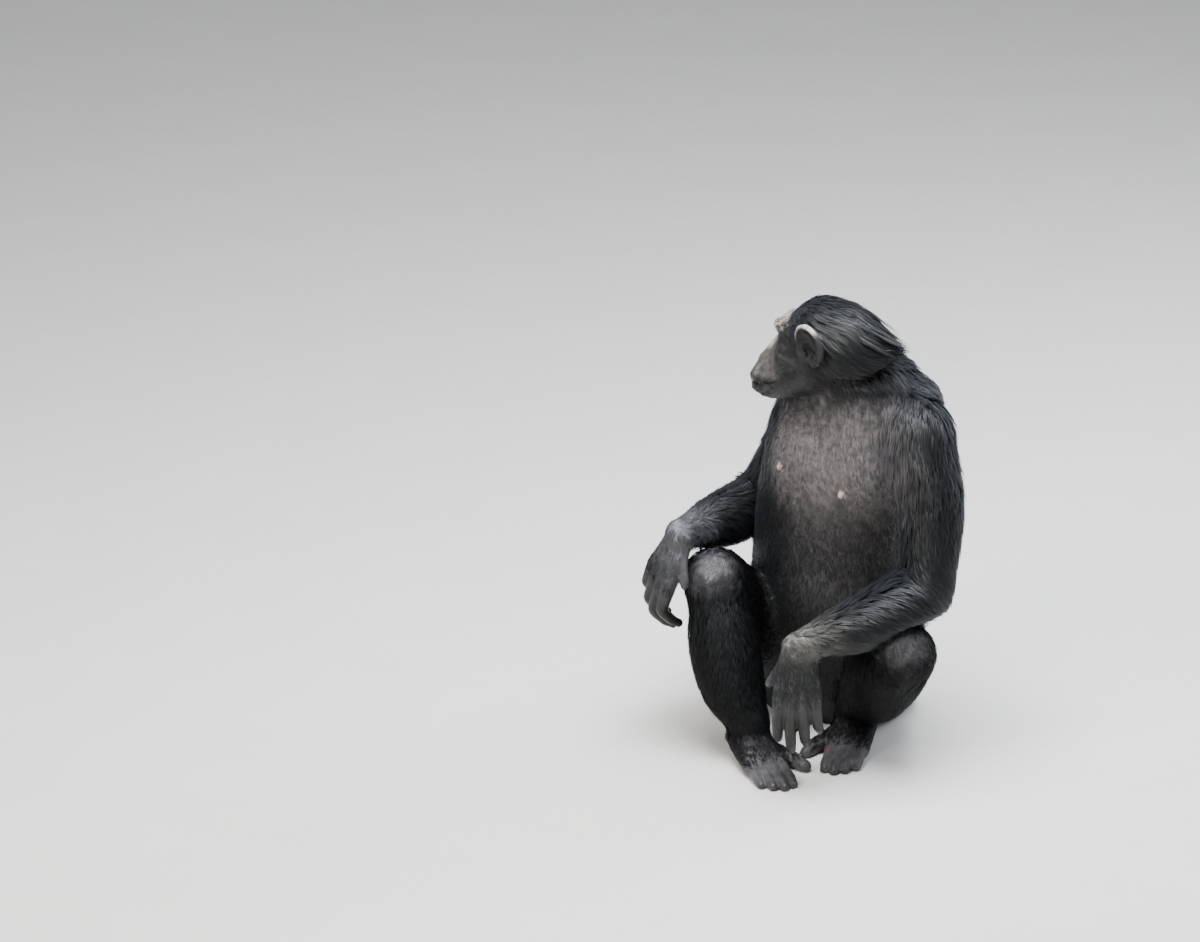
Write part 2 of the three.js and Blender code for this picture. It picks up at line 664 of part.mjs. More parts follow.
// The same triangles with no needles: where a corner almost touches the edge across from it,
// that edge is turned to run from the corner instead
function withoutNeedles([points, triangles]) {
  const edges = new Map();
  const key = (a, b) => a * points.length + b;
  const own = (t) => triangles.slice(3 * t, 3 * t + 3);
  const mark = (t) => own(t).forEach((v, i, all) => edges.set(key(v, all[(i + 1) % 3]), t));
  const clear = (t) => own(t).forEach((v, i, all) => edges.delete(key(v, all[(i + 1) % 3])));
  const height = (a, b, c) => {
    const [p, q, r] = [a, b, c].map((v) => points[v]);
    return Math.hypot(...cross(sub(q, p), sub(r, p))) / Math.hypot(...sub(q, p));
  };
  for (let t = 0; t < triangles.length / 3; t++) mark(t);
  for (let pass = 0; pass < 4; pass++)
    for (let t = 0; t < triangles.length / 3; t++)
      for (let i = 0; i < 3; i++) {
        const [a, b, c] = [0, 1, 2].map((k) => triangles[3 * t + ((i + k) % 3)]);
        const far = edges.get(key(b, a));
        const d = own(far).find((v) => v !== a && v !== b);
        const poor = height(a, b, c);
        const turned = Math.min(height(c, d, a), height(c, d, b));
        if (poor > TIDY.needle || turned < 2 * poor || edges.has(key(c, d)) || edges.has(key(d, c))) continue;
        clear(t);
        clear(far);
        triangles.splice(3 * t, 3, a, d, c);
        triangles.splice(3 * far, 3, d, b, c);
        mark(t);
        mark(far);
        break;
      }
  return [points, triangles];
}

const tidied = (solid, tolerance) => solidOf(...withoutNeedles(thinned(...meshOf(solid), 0, tolerance)));
const largest = (solid) => solid.decompose().reduce((a, b) => (b.volume() > a.volume() ? b : a));

// A solid from a three.js geometry placed by a matrix
function solidOfGeometry(geometry, matrix) {
  const plain = geometry.clone().applyMatrix4(matrix);
  plain.deleteAttribute("normal");
  plain.deleteAttribute("uv");
  const merged = mergeVertices(plain, 1e-3);
  const vertProperties = new Float32Array(merged.attributes.position.array);
  return new wasm.Manifold(
    new wasm.Mesh({ numProp: 3, vertProperties, triVerts: new Uint32Array(merged.index.array) }),
  );
}

function normalsOf(points, triangles) {
  const normals = points.map(() => [0, 0, 0]);
  for (let t = 0; t < triangles.length; t += 3) {
    const [a, b, c] = triangles.slice(t, t + 3);
    const facing = cross(sub(points[b], points[a]), sub(points[c], points[a]));
    for (const v of [a, b, c]) normals[v] = add(normals[v], facing);
  }
  return normals.map(unit);
}

// The same solid with each point moved out along its normal
function swollen(solid, by) {
  const [points, triangles] = meshOf(solid);
  const normals = normalsOf(points, triangles);
  return solidOf(points.map((p, v) => add(p, normals[v], by)), triangles);
}

// The same solid with points that meet drawn a hair's breadth apart, each towards its own triangles
function unpinched(solid) {
  const [points, triangles] = meshOf(solid);
  const around = points.map(() => [0, 0, 0]);
  for (let t = 0; t < triangles.length; t += 3) {
    const own = triangles.slice(t, t + 3);
    for (const v of own) for (const w of own) around[v] = add(around[v], sub(points[w], points[v]));
  }
  const order = points.map((_, v) => v).sort((v, w) => points[v][0] - points[w][0]);
  const pinched = new Set();
  order.forEach((v, i) => {
    for (let k = i + 1; k < order.length && points[order[k]][0] - points[v][0] < TIDY.weld; k++)
      if (Math.hypot(...sub(points[v], points[order[k]])) < TIDY.weld) pinched.add(v).add(order[k]);
  });
  const drawn = (p, v) => (pinched.has(v) ? add(p, unit(around[v]), TIDY.weld * (1 + (v % 3))) : p);
  return solidOf(points.map(drawn), triangles);
}

// What lies ahead of a plane through a point
const ahead = (solid, point, way, gap = GAP / 2) => {
  const normal = unit(way);
  return solid.trimByPlane(normal, dot(normal, point) + gap);
};

// The box round a tube's stations in a frame
function boxRound(frame, stations, margin) {
  const places = stations.map(([x, y, z, r]) => [toFrame(frame, [x, y, z]), r + margin]);
  const edge = (sign, pick) => [0, 1, 2].map((i) => pick(...places.map(([p, r]) => p[i] + sign * r)));
  return [edge(-1, Math.min), edge(1, Math.max)];
}

// The body

const REACH = 8; // how far round a limb its own share of a fillet goes
const trunk = trunkField(core);
const head = headField(core);
const neckRows = neckStations(core);
const neck = tube(neckRows);

function limbRows(side, kept) {
  const j = JOINT[side];
  const bow = BOW[side];
  return {
    upperArm: along(j.shoulder, j.elbow, UPPER_ARM, bow.upperArm, kept),
    forearm: along(j.elbow, j.wrist, FOREARM, bow.forearm, kept),
    thigh: along(j.hip, j.knee, THIGH, bow.thigh, kept),
    lowerLeg: along(j.knee, j.ankle, LOWER_LEG, bow.lowerLeg, kept),
  };
}

function limbFields(side, kept) {
  const fields = Object.fromEntries(Object.entries(limbRows(side, kept)).map(([k, v]) => [k, tube(v)]));
  return { ...fields, hand: handField(side), foot: footField(side) };
}

const limbs = { left: limbFields("left", core), right: limbFields("right", core) };
const parts = {};
const sockets = []; // what the trunk gives way to

// The plane between two bones that meet at a joint, facing the second
const between = (a, joint, b) => unit(add(unit(sub(b, joint)), unit(sub(joint, a))));

// A length of limb: its own field near it, with the fillets to its neighbours
function limbSolid(own, skin, rows, reach, steps, budget) {
  const frame = frameAlong(rows[0].slice(0, 3), rows[rows.length - 1].slice(0, 3));
  const near = grown(own, reach);
  return surface((p) => Math.max(skin(p), near(p)), frame, boxRound(frame, rows, reach + 16), steps, budget);
}

// The room that a limb takes in the trunk
function socketFor(own, rows, root, way) {
  const frame = frameAlong(rows[0].slice(0, 3), rows[rows.length - 1].slice(0, 3));
  const room = grown(own, REACH + CLEAR);
  const solid = surface(room, frame, boxRound(frame, rows, REACH + 16), [15, 15, 20], 220);
  sockets.push(ahead(solid, root, way, -GAP / 2));
}

for (const side of Object.keys(SIDES)) {
  const j = JOINT[side];
  const f = limbs[side];
  const rows = limbRows(side, core);

  const armRoot = mix(j.shoulder, j.elbow, 0.2);
  const armWay = sub(j.elbow, j.shoulder);
  const elbowWay = between(j.shoulder, j.elbow, j.wrist);
  const armSkin = joined(FILLET.elbow, joined(FILLET.arm, f.upperArm, trunk), f.forearm);
  const arm = limbSolid(f.upperArm, armSkin, rows.upperArm, REACH, [12, 12, 15], 300);
  parts["upper_arm_" + side] = ahead(ahead(arm, armRoot, armWay), j.elbow, scale(elbowWay, -1));
  socketFor(f.upperArm, rows.upperArm, armRoot, armWay);

  const wristWay = between(j.elbow, j.wrist, add(j.wrist, HAND[side].fingers, 50));
  const foreSkin = joined(FILLET.wrist, joined(FILLET.elbow, f.forearm, f.upperArm), f.hand);
  const forearm = limbSolid(f.forearm, foreSkin, rows.forearm, 12, [11, 11, 14], 340);
  parts["forearm_" + side] = ahead(ahead(forearm, j.elbow, elbowWay), j.wrist, scale(wristWay, -1));

  const handSkin = joined(FILLET.wrist, f.hand, f.forearm);
  const hand = surface(handSkin, handFrame(side), [[-60, -60, -24], [90, 150, 250]], [5, 5, 6], 1020);
  parts["hand_" + side] = largest(ahead(hand, j.wrist, wristWay));

  const legRoot = mix(j.hip, j.knee, 0.3);
  const legWay = sub(j.knee, j.hip);
  const kneeWay = between(j.hip, j.knee, j.ankle);
  const legSkin = joined(FILLET.knee, joined(FILLET.thigh, f.thigh, trunk), f.lowerLeg);
  const leg = limbSolid(f.thigh, legSkin, rows.thigh, REACH, [13, 13, 15], 280);
  parts["thigh_" + side] = ahead(ahead(leg, legRoot, legWay), j.knee, scale(kneeWay, -1));
  socketFor(f.thigh, rows.thigh, legRoot, legWay);

  const ankle = add(j.ankle, [0, 0, 1], 4);
  const shinSkin = joined(FILLET.ankle, joined(FILLET.knee, f.lowerLeg, f.thigh), f.foot);
  const shin = limbSolid(f.lowerLeg, shinSkin, rows.lowerLeg, 12, [11, 11, 14], 340);
  parts["lower_leg_" + side] = ahead(ahead(shin, j.knee, kneeWay), ankle, [0, 0, 1]);

  const footSkin = joined(FILLET.ankle, f.foot, f.lowerLeg);
  const foot = surface(footSkin, footFrame(side), [[-60, -75, -14], [95, 185, 92]], [5.5, 6, 5.5], 900);
  parts["foot_" + side] = largest(ahead(ahead(foot, ankle, [0, 0, -1]), [0, 0, 0], [0, 0, 1], 0));
}

const neckTop = fromFrame(headFrame, NECK_CUT.top);
const headBox = [[-136, -100, -124], [160, 100, 112]];
const headSteps = [[[30, 10], [160, 4.6]], 6, [[-90, 7], [48, 4.8], [112, 10]]];
const headSkin = joined(FILLET.head, head, neck);
parts.head = largest(ahead(surface(headSkin, headFrame, headBox, headSteps, 2100), neckTop, NECK_CUT.topWay));
const neckSkin = joined(FILLET.neck, joined(FILLET.head, neck, head), trunk);
const wholeNeck = limbSolid(neck, neckSkin, neckRows, REACH, [13, 13, 13], 340);
parts.neck = largest(
  ahead(ahead(wholeNeck, neckTop, scale(NECK_CUT.topWay, -1)), NECK_CUT.foot, NECK_CUT.footWay),
);
socketFor(neck, neckRows, NECK_CUT.foot, NECK_CUT.footWay);

const trunkSkin = joined(
  FILLET.arm,
  joined(FILLET.thigh, trunk, limbs.left.thigh, limbs.right.thigh),
  limbs.left.upperArm,
  limbs.right.upperArm,
);
const torsoSkin = joined(FILLET.arm, trunkSkin, neck);
let torso = surface(torsoSkin, WORLD, [[-190, -160, -30], [300, 340, 720]], [16, 16, 16], 1500);
torso = ahead(torso, [0, 0, 0], [0, 0, 1], 0);
const ball = (across, down) => new THREE.SphereGeometry(1, across, down);
const placed = (x, y, z, size) => new THREE.Matrix4().makeScale(...size).setPosition(x, y, z);
for (const [x, z] of NIPPLES.places) {
  let y = -300;
  while (torsoSkin([x, y, z]) > 0) y += 1;
  torso = torso.add(solidOfGeometry(ball(8, 6), placed(x, y, z, Array(3).fill(NIPPLES.size))));
}
for (const socket of sockets) torso = torso.subtract(socket);
parts.torso = largest(torso);

// The head's openings, eyes and ears
const frameMatrix = (f) =>
  new THREE.Matrix4()
    .makeBasis(...[f.x, f.y, f.z].map((axis) => new THREE.Vector3(...axis)))
    .setPosition(...f.origin);
const faceBall = (at, radii, across, down) => {
  const matrix = new THREE.Matrix4().multiplyMatrices(frameMatrix(headFrame), placed(...at, radii));
  return solidOfGeometry(ball(across, down), matrix);
};
for (const [side, s] of Object.entries(SIDES)) {
  const [x, y, z] = [EYE.at[0], EYE.at[1] * s, EYE.at[2]];
  const eyeball = (more, across, down) => faceBall([x, y, z], Array(3).fill(EYE.radius + more), across, down);
  parts["eye_" + side] = eyeball(0, 10, 8);
  const slit = faceBall([x + 9, y, z - 0.5], [12, 10, 4.6], 12, 8);
  parts.head = parts.head.add(eyeball(EYE.lid, 14, 10)).subtract(slit).subtract(eyeball(0.5, 10, 8));
  const [nx, ny, nz] = NOSTRIL.at;
  parts.head = parts.head.subtract(faceBall([nx, ny * s, nz], NOSTRIL.radii, 8, 6));
}
const mouthLine = lipStations(MOUTH.z, MOUTH.groove, 0.4).map(([x, y, z]) => new THREE.Vector3(x, y, z));
const grooveOutline = new THREE.Shape().absarc(0, 0, MOUTH.groove, 0, 2 * Math.PI);
const groove = new THREE.ExtrudeGeometry(grooveOutline, {
  steps: 24,
  curveSegments: 3,
  extrudePath: new THREE.CatmullRomCurve3(mouthLine),
});
parts.head = largest(parts.head.subtract(solidOfGeometry(groove, new THREE.Matrix4())));

// An ear is a cupped plate with a rim round its back and top, set on the side of the head
for (const [side, s] of Object.entries(SIDES)) {
  const out = unit(add(scale(headFrame.y, s), headFrame.x, Math.tan(EAR.turn * DEG)));
  const up = across(add(headFrame.z, headFrame.x, -0.2), out);
  const back = scale(cross(up, out), s);
  const f = frameOf(fromFrame(headFrame, [EAR.root[0], EAR.root[1] * s, EAR.root[2]]), back, out, up);
  const plate = ellipsoid(f, [EAR.width * 0.55, 0, 0], [EAR.width, EAR.thick, EAR.length]);
  const rim = tube(
    [-80, -40, 0, 45, 90, 130, 170].map((turn) => {
      const [c, d] = [Math.cos(turn * DEG), Math.sin(turn * DEG)];
      return [...fromFrame(f, [EAR.width * (0.55 + 0.9 * c), 3, EAR.length * 0.92 * d]), EAR.rim];
    }),
  );
  const cup = ellipsoid(f, [EAR.width * 0.42, EAR.thick + 1, 2], [EAR.width * 0.68, 8, EAR.length * 0.68]);
  const skin = joined(3, hollowed(plate, cup, 3), rim);
  const ear = surface(skin, f, [[-40, -18, -50], [52, 20, 50]], [3.4, 2.8, 3.4], 380);
  parts["ear_" + side] = ear;
}

// Where two parts press on each other, the first gives way to the second
const PRESSED = [
  ["ear_left", "head"],
  ["ear_right", "head"],
  ["ear_left", "neck"],
  ["ear_right", "neck"],
  ["torso", "neck"],
  ["torso", "head"],
  ["upper_arm_right", "head"],
];
for (const side of Object.keys(SIDES)) {
  for (const part of ["forearm_", "upper_arm_", "thigh_", "lower_leg_", "foot_"])
    PRESSED.push(["torso", part + side]);
  PRESSED.push(["lower_leg_" + side, "thigh_" + side]);
  PRESSED.push(["thigh_" + side, "forearm_" + side]);
  PRESSED.push(["lower_leg_" + side, "forearm_" + side]);
  PRESSED.push(["upper_arm_" + side, "forearm_" + side]);
}
for (const [soft, firm] of PRESSED) {
  const room = swollen(parts[firm], CLEAR);
  if (parts[soft].intersect(room).volume() > 1e-3)
    parts[soft] = largest(parts[soft].subtract(room).subtract(parts[firm]));
}
for (const name of Object.keys(parts))
  if (!name.startsWith("eye_")) parts[name] = tidied(parts[name], TIDY.skin);

// Locks of the long coat

// A run of numbers between 0 and 1, the same each time
let drawn;
const draw = () => {
  drawn = (drawn * 1103515245 + 12345) % 2147483648;
  return drawn / 2147483648;
};

// Points spread evenly over a solid's surface
function rootsOn(solid, spacing, fits) {
  const [points, triangles] = meshOf(solid);
  const roots = [];
  const areas = [];
  let total = 0;
  for (let t = 0; t < triangles.length; t += 3) {
    const [a, b, c] = triangles.slice(t, t + 3).map((v) => points[v]);
    total += Math.hypot(...cross(sub(b, a), sub(c, a))) / 2;
    areas.push(total);
  }
  for (let n = 0; n < (TRIES * total) / spacing ** 2; n++) {
    const pick = draw() * total;
    const t = 3 * areas.findIndex((sum) => sum >= pick);
    const [u, v] = [Math.sqrt(draw()), draw()];
    const [a, b, c] = triangles.slice(t, t + 3).map((k) => points[k]);
    const p = add(add(scale(a, 1 - u), b, u * (1 - v)), c, u * v);
    if (fits(p) && roots.every((r) => Math.hypot(...sub(r, p)) > spacing)) roots.push(p);
  }
  return roots;
}

// One lock: flat and tapered, from under the skin out to the tips of the coat, along the lie
function lockPoints(root, lie, skin, tips, size) {
  const rings = [];
  const turn = (draw() - 0.5) * LOCK.swing;
  let place = root;
  for (let i = 0; i <= LOCK.steps; i++) {
    const t = i / LOCK.steps;
    const normal = unit(gradient(skin, place, 2));
    const straight = across(lie(place), normal);
    const way = unit(add(straight, cross(normal, straight), turn * t));
    const side = cross(way, normal);
    const depth = skin(place) - tips(place);
    const height = -LOCK.sunk + (LOCK.sunk + depth) * Math.sqrt(t) - skin(place);
    const centre = add(place, normal, height);
    const wide = (size.width / 2) * Math.sin(Math.PI * (0.28 + 0.56 * t));
    const thick = LOCK.thick * (1 - LOCK.taper * t);
    rings.push([add(centre, side, wide), add(centre, normal, thick), add(centre, side, -wide)]);
    place = add(add(place, normal, -skin(place)), way, size.length / LOCK.steps);
  }
  return rings;
}

function lockSolid(rings) {
  const last = rings.length - 1;
  const points = [...rings.slice(0, last).flat(), mix(rings[last][0], rings[last][2], 0.5)];
  const triangles = [0, 2, 1];
  for (let i = 0; i < last; i++)
    for (let k = 0; k < 3; k++) {
      const [a, b] = [3 * i + k, 3 * i + ((k + 1) % 3)];
      if (i === last - 1) triangles.push(a, b, points.length - 1);
      else triangles.push(a, b, b + 3, a, b + 3, a + 3);
    }
  return solidOf(points, triangles);
}

// Which way the coat lies on each part
const DOWN = [0, 0, -1];
const lies = {
  head: (p) => unit(add(scale(headFrame.x, -1), DOWN, toFrame(headFrame, p)[0] < -20 ? 0.9 : 0.25)),
  neck: () => unit(add(scale(headFrame.x, -0.5), DOWN, 1)),
  torso: () => unit(add([0, 0.15, 0], DOWN, 1)),
};
for (const side of Object.keys(SIDES)) {
  const j = JOINT[side];
  lies["upper_arm_" + side] = () => unit(add(unit(sub(j.elbow, j.shoulder)), DOWN, 0.3));
  lies["forearm_" + side] = () => unit(add(unit(sub(j.elbow, j.wrist)), DOWN, 0.7));
}
// The whole body in one field, with as much of the coat as is kept
function bodyField(kept) {
  const [left, right] = ["left", "right"].map((side) => limbFields(side, kept));
  const hips = joined(FILLET.thigh, trunkField(kept), left.thigh, right.thigh);
  const upper = joined(FILLET.head, headField(kept), tube(neckStations(kept)));
  const body = joined(FILLET.arm, hips, left.upperArm, right.upperArm, upper);
  return joined(FILLET.elbow, body, left.forearm, right.forearm, left.lowerLeg, right.lowerLeg);
}
const skin = bodyField(core);
const tips = bodyField(whole);

const locks = {};
const room = Object.fromEntries(Object.entries(parts).map(([name, solid]) => [name, swollen(solid, CLEAR)]));
for (const [name, lie] of Object.entries(lies)) {
  drawn = LOCK_SEED[name] ?? LOCK_SEED.others;
  locks[name] = [];
  const others = Object.keys(parts).filter((other) => other !== name);
  const fits = (p) => tips(p) < -LOCK.least && Math.abs(skin(p)) < LOCK.near;
  const roots = rootsOn(parts[name], LOCK.spacing, fits);
  for (const root of roots) {
    const grow = 1 - LOCK.vary / 2 + LOCK.vary * draw();
    const size = { length: LOCK.length * grow, width: LOCK.width * grow };
    const rings = lockPoints(root, lie, skin, tips, size);
    const lock = lockSolid(rings);
    const wide = swollen(lock, GAP);
    const clear = others.every(
      (other) =>
        lock.intersect(room[other]).isEmpty() && (locks[other] ?? []).every((l) => wide.intersect(l).isEmpty()),
    );
    if (clear && lock.boundingBox().min[2] > CLEAR) locks[name].push(lock);
  }
}
for (const [name, grown] of Object.entries(locks))
  parts[name] = tidied(largest(wasm.Manifold.union([parts[name], ...grown])), TIDY.locks);
for (const [name, solid] of Object.entries(parts)) parts[name] = unpinched(tidied(solid, TIDY.last));

// The scene graph: colour and roughness of each part
const FINISH = {
  torso: [0x1c1b1d, 0.85],
  neck: [0x141418, 0.85],
  head: [0x2c2725, 0.7],
  eye: [0x1d1009, 0.15],
  ear: [0x6e5a54, 0.6],
  upper_arm: [0x15161a, 0.85],
  forearm: [0x1d1f24, 0.85],
  hand: [0x38322f, 0.6],
  thigh: [0x1b1b1e, 0.85],
  lower_leg: [0x18181b, 0.85],
  foot: [0x322c29, 0.6],
};

const chimpanzee = new THREE.Group();
chimpanzee.name = "chimpanzee";
chimpanzee.position.set(-ORIGIN[0], -ORIGIN[1], 0);
for (const [name, solid] of Object.entries(parts)) {
  const [points, triangles] = meshOf(solid);
  const geometry = new THREE.BufferGeometry();
  geometry.setAttribute("position", new THREE.Float32BufferAttribute(points.flat(), 3));
  geometry.setIndex(triangles);
  const [color, roughness] = FINISH[name.replace(/_(left|right)$/, "")];
  const material = new THREE.MeshStandardMaterial({ color, roughness, metalness: 0 });
  const node = new THREE.Mesh(geometry, material);
  node.name = name;
  chimpanzee.add(node);
}

export default chimpanzee;
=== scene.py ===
"""A chimpanzee sitting on its haunches: one skin under a coat of hair, with ears, eyes and nails.

The body is planned in millimetres from the joints of its limbs, in the frame those joints are given in.
Each form is a field, the distance of a point from its surface, less than 0 inside. The meshes that are
made from the fields are in metres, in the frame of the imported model.
"""

import math

import bmesh
import bpy
import numpy as np
from mathutils import Matrix, Vector
from mathutils.kdtree import KDTree


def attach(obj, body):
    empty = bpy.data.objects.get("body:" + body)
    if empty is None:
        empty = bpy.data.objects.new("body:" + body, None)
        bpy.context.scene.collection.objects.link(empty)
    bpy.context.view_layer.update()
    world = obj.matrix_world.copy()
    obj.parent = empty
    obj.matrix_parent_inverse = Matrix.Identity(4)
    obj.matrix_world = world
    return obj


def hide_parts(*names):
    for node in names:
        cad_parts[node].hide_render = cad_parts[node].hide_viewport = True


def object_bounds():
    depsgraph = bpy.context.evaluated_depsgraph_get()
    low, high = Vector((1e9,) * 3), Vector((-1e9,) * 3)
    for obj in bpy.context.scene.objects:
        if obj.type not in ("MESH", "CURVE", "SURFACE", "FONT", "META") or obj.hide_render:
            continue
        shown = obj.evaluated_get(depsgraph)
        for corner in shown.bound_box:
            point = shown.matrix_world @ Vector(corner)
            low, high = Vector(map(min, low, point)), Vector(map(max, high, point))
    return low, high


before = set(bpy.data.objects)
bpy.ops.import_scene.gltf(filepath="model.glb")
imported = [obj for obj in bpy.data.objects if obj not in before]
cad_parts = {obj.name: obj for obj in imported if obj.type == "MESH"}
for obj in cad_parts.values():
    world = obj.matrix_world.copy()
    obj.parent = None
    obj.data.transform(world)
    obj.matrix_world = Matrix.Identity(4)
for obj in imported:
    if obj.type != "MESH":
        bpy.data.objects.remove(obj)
cad_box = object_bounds()
random = np.random.default_rng(7)

MM = 0.001
ORIGIN = np.array([-14.05, 23.75, 0.0])  # the frame's origin, in the frame of the joints
SIDES = {"left": 1, "right": -1}

# Joints of the limbs
JOINT = {
    "left": {
        "shoulder": (178, -44, 590),
        "elbow": (192, -128, 343),
        "wrist": (-22, -212, 268),
        "hip": (108, 98, 118),
        "knee": (158, -160, 232),
        "ankle": (78, 4, 66),
    },
    "right": {
        "shoulder": (14, 134, 596),
        "elbow": (-94, 228, 362),
        "wrist": (-228, 4, 388),
        "hip": (-28, 162, 118),
        "knee": (-170, 18, 300),
        "ankle": (-112, -72, 68),
    },
}

# The trunk from seat to neck, out to the tips of the coat: height, centre x and y, half width,
# half depth, turn, and the coat's depth on the chest and on the back
TRUNK = np.array([
    (-10, 42, 150, 116, 84, 16, 4, 8),
    (50, 42, 142, 152, 108, 18, 5, 12),
    (130, 42, 130, 164, 120, 20, 5, 16),
    (230, 45, 120, 162, 127, 22, 5, 18),
    (330, 50, 109, 158, 129, 27, 5, 20),
    (430, 56, 96, 157, 127, 33, 5, 22),
    (520, 64, 80, 152, 122, 39, 6, 22),
    (590, 75, 65, 143, 114, 40, 7, 24),
    (640, 81, 59, 134, 110, 40, 10, 26),
    (680, 86, 60, 108, 96, 40, 12, 28),
    (706, 88, 64, 78, 72, 40, 14, 28),
], float)
ROUND = 2.3  # how square the trunk's oval is: 2 is an ellipse

# Muscles and fat that stand out of the trunk: place, radii, turn and the coat over it
TRUNK_MASSES = [
    ((-10, 34, 530), (58, 46, 70), 40, 5),
    ((84, -22, 526), (60, 46, 70), 36, 5),
    ((38, 60, 240), (112, 88, 104), 22, 5),
    ((160, 78, 556), (58, 50, 88), 40, 20),
    ((66, 150, 556), (58, 48, 88), 40, 20),
    ((108, 146, 74), (86, 80, 86), 16, 8),
    ((-18, 180, 74), (86, 80, 86), 16, 8),
    ((184, 30, 636), (56, 66, 52), 0, 34),  # the muscle from the neck out to the left shoulder
]
NIPPLES = [(-56, 18, 508), (50, -51, 482)]

# Shares along a bone, flesh radius, coat depth and how far the limb bows out or sags there
LIMBS = {
    "upper_arm": ("shoulder", "elbow", [
        (-0.04, 54, 20, 0), (0.2, 52, 20, 6), (0.45, 48, 20, 18), (0.75, 42, 19, 14), (1, 38, 17, 0)]),
    "forearm": ("elbow", "wrist", [
        (0, 38, 17, 0), (0.2, 43, 15, 8), (0.5, 42, 11, 12), (0.8, 31, 8, 4), (1, 25, 4, 0)]),
    "thigh": ("hip", "knee", [(0, 78, 8, 0), (0.35, 70, 9, 0), (0.7, 56, 9, 0), (1, 46, 7, 0)]),
    "lower_leg": ("knee", "ankle", [
        (0, 45, 7, 0), (0.2, 50, 9, 2), (0.45, 57, 9, 8), (0.75, 52, 9, 10), (1, 33, 9, 0)]),
}
BOW = {
    "left": {"upper_arm": (1, 0, 0), "forearm": (0, 0, -1), "thigh": (0, 0, 0), "lower_leg": (1, 0.3, 0)},
    "right": {
        "upper_arm": (0.6, 0, 0), "forearm": (0, 0, -0.4), "thigh": (0, 0, 0), "lower_leg": (-1.3, 0.3, 0)},
}

# The head's frame has its origin between the ear holes, x to the muzzle, y to its left and z up
HEAD = {"origin": (20.9, 20, 741), "turn": 153, "nod": 9.5}
EYE = {"at": (57, 27, 16), "radius": 11.5, "lid": 2.0, "rings": 40, "across": 48}
NOSTRIL = {"at": (127, 7.5, -35), "radii": (8, 3.6, 4.4)}
MOUTH = {"x": 111, "z": -66, "reach": 36, "corner": (80, 46), "lip": 8, "groove": 1.8}
EAR = {"root": (-2, 74, 9), "length": 38, "width": 30, "thick": 6.5, "turn": 20, "lean": 0.45, "lower": 7}
EAR_BOX = (-40, -16, -48), (54, 22, 46)

# Hands: which way the fingers and the thumb's side point, and the bend of each joint in degrees
HAND = {
    "left": {"fingers": (-0.04, -0.12, -1), "thumbward": (-1, 0.15, 0.1), "curl": (10, 22, 30)},
    "right": {"fingers": (-0.4, 0.05, -0.91), "thumbward": (0.42, -0.8, -0.42), "curl": (6, 58, 16)},
}
FINGERS = [(29, (88, 50, 32, 20), 4), (10, (92, 58, 40, 22), 1), (-10, (87, 54, 37, 22), -2),
           (-28, (78, 43, 28, 18), -6)]  # place across the palm, bones and splay
FINGER_RADII = (15, 13, 13.5, 11, 10.5, 9.5, 9, 7.5)
THUMB = {"offset": 24, "root": 34, "length": 50, "splay": 34, "radii": (13, 11.5, 10, 7)}

# Feet: which way the toes point, and each toe's place, reach from the ankle and radius
FOOT = {"left": (-0.2, -0.98, 0), "right": (0.36, -0.93, 0)}
SOLE = 3  # how much of the soft sole the floor presses flat
TOES = [(25, 152, 10.5), (8, 158, 10.5), (-9, 150, 10), (-25, 136, 9)]
BIG_TOE = [(10, 30, 26, 22), (38, 50, 20, 17), (58, 72, 15, 14), (70, 96, 12, 11)]

FILLET = {"arm": 34, "thigh": 16, "head": 26, "elbow": 14, "knee": 30, "wrist": 12, "ankle": 14, "crease": 3}

FAR = 1000.0  # a distance that stands for anything out of reach
REACH = 60.0  # a form further off than this has no say in the surface
SPAN = {"head": 230, "hand": 260, "foot": 240}  # half the width of the box in which each is worked out
CELL = {"skin": 4.0, "ear": 1.4}  # how wide the faces of each mesh are at first
LEVELS = 3  # how often the search for a surface halves its cells

# The skin has finer faces this near to each of these. The finest are on the face and near the nipples.
FINE = {"head": 165, "hand": 225, "foot": 200, "nipple": 20}
FINEST = 14  # how near to a nipple


# Vectors and frames: a frame is an origin and a matrix whose rows are its axes

def unit(v):
    v = np.asarray(v, float)
    return v / np.maximum(np.linalg.norm(v, axis=-1, keepdims=True), 1e-9)


def upright(a, axis):
    """The part of a that stands square on an axis, as a unit vector."""
    a = np.asarray(a, float)
    return unit(a - axis * (a * axis).sum(-1, keepdims=True))


def to_frame(f, p):
    return (p - f[0]) @ f[1].T


def from_frame(f, p):
    return f[0] + np.asarray(p, float) @ f[1]


def from_degrees(turn):
    return math.cos(math.radians(turn)), math.sin(math.radians(turn))


def smooth_rows(rows, per_span):
    """Rows of numbers through which a smooth curve runs."""
    rows = np.asarray(rows, float)
    out = []
    for i in range(len(rows) - 1):
        p0, p1, p2, p3 = (rows[min(max(i + k, 0), len(rows) - 1)] for k in (-1, 0, 1, 2))
        for t in np.arange(per_span) / per_span:
            bend = (2 * p0 - 5 * p1 + 4 * p2 - p3) * t * t + (3 * p1 - p0 - 3 * p2 + p3) * t ** 3
            out.append(0.5 * (2 * p1 + (p2 - p0) * t + bend))
    return np.array(out + [rows[-1]])


# Fields

def near_box(low, high, field):
    """A field that is worked out only inside a box."""
    def boxed(p):
        out = np.full(len(p), FAR)
        near = ((p > low) & (p < high)).all(1)
        if near.any():
            out[near] = field(p[near])
        return out
    return boxed


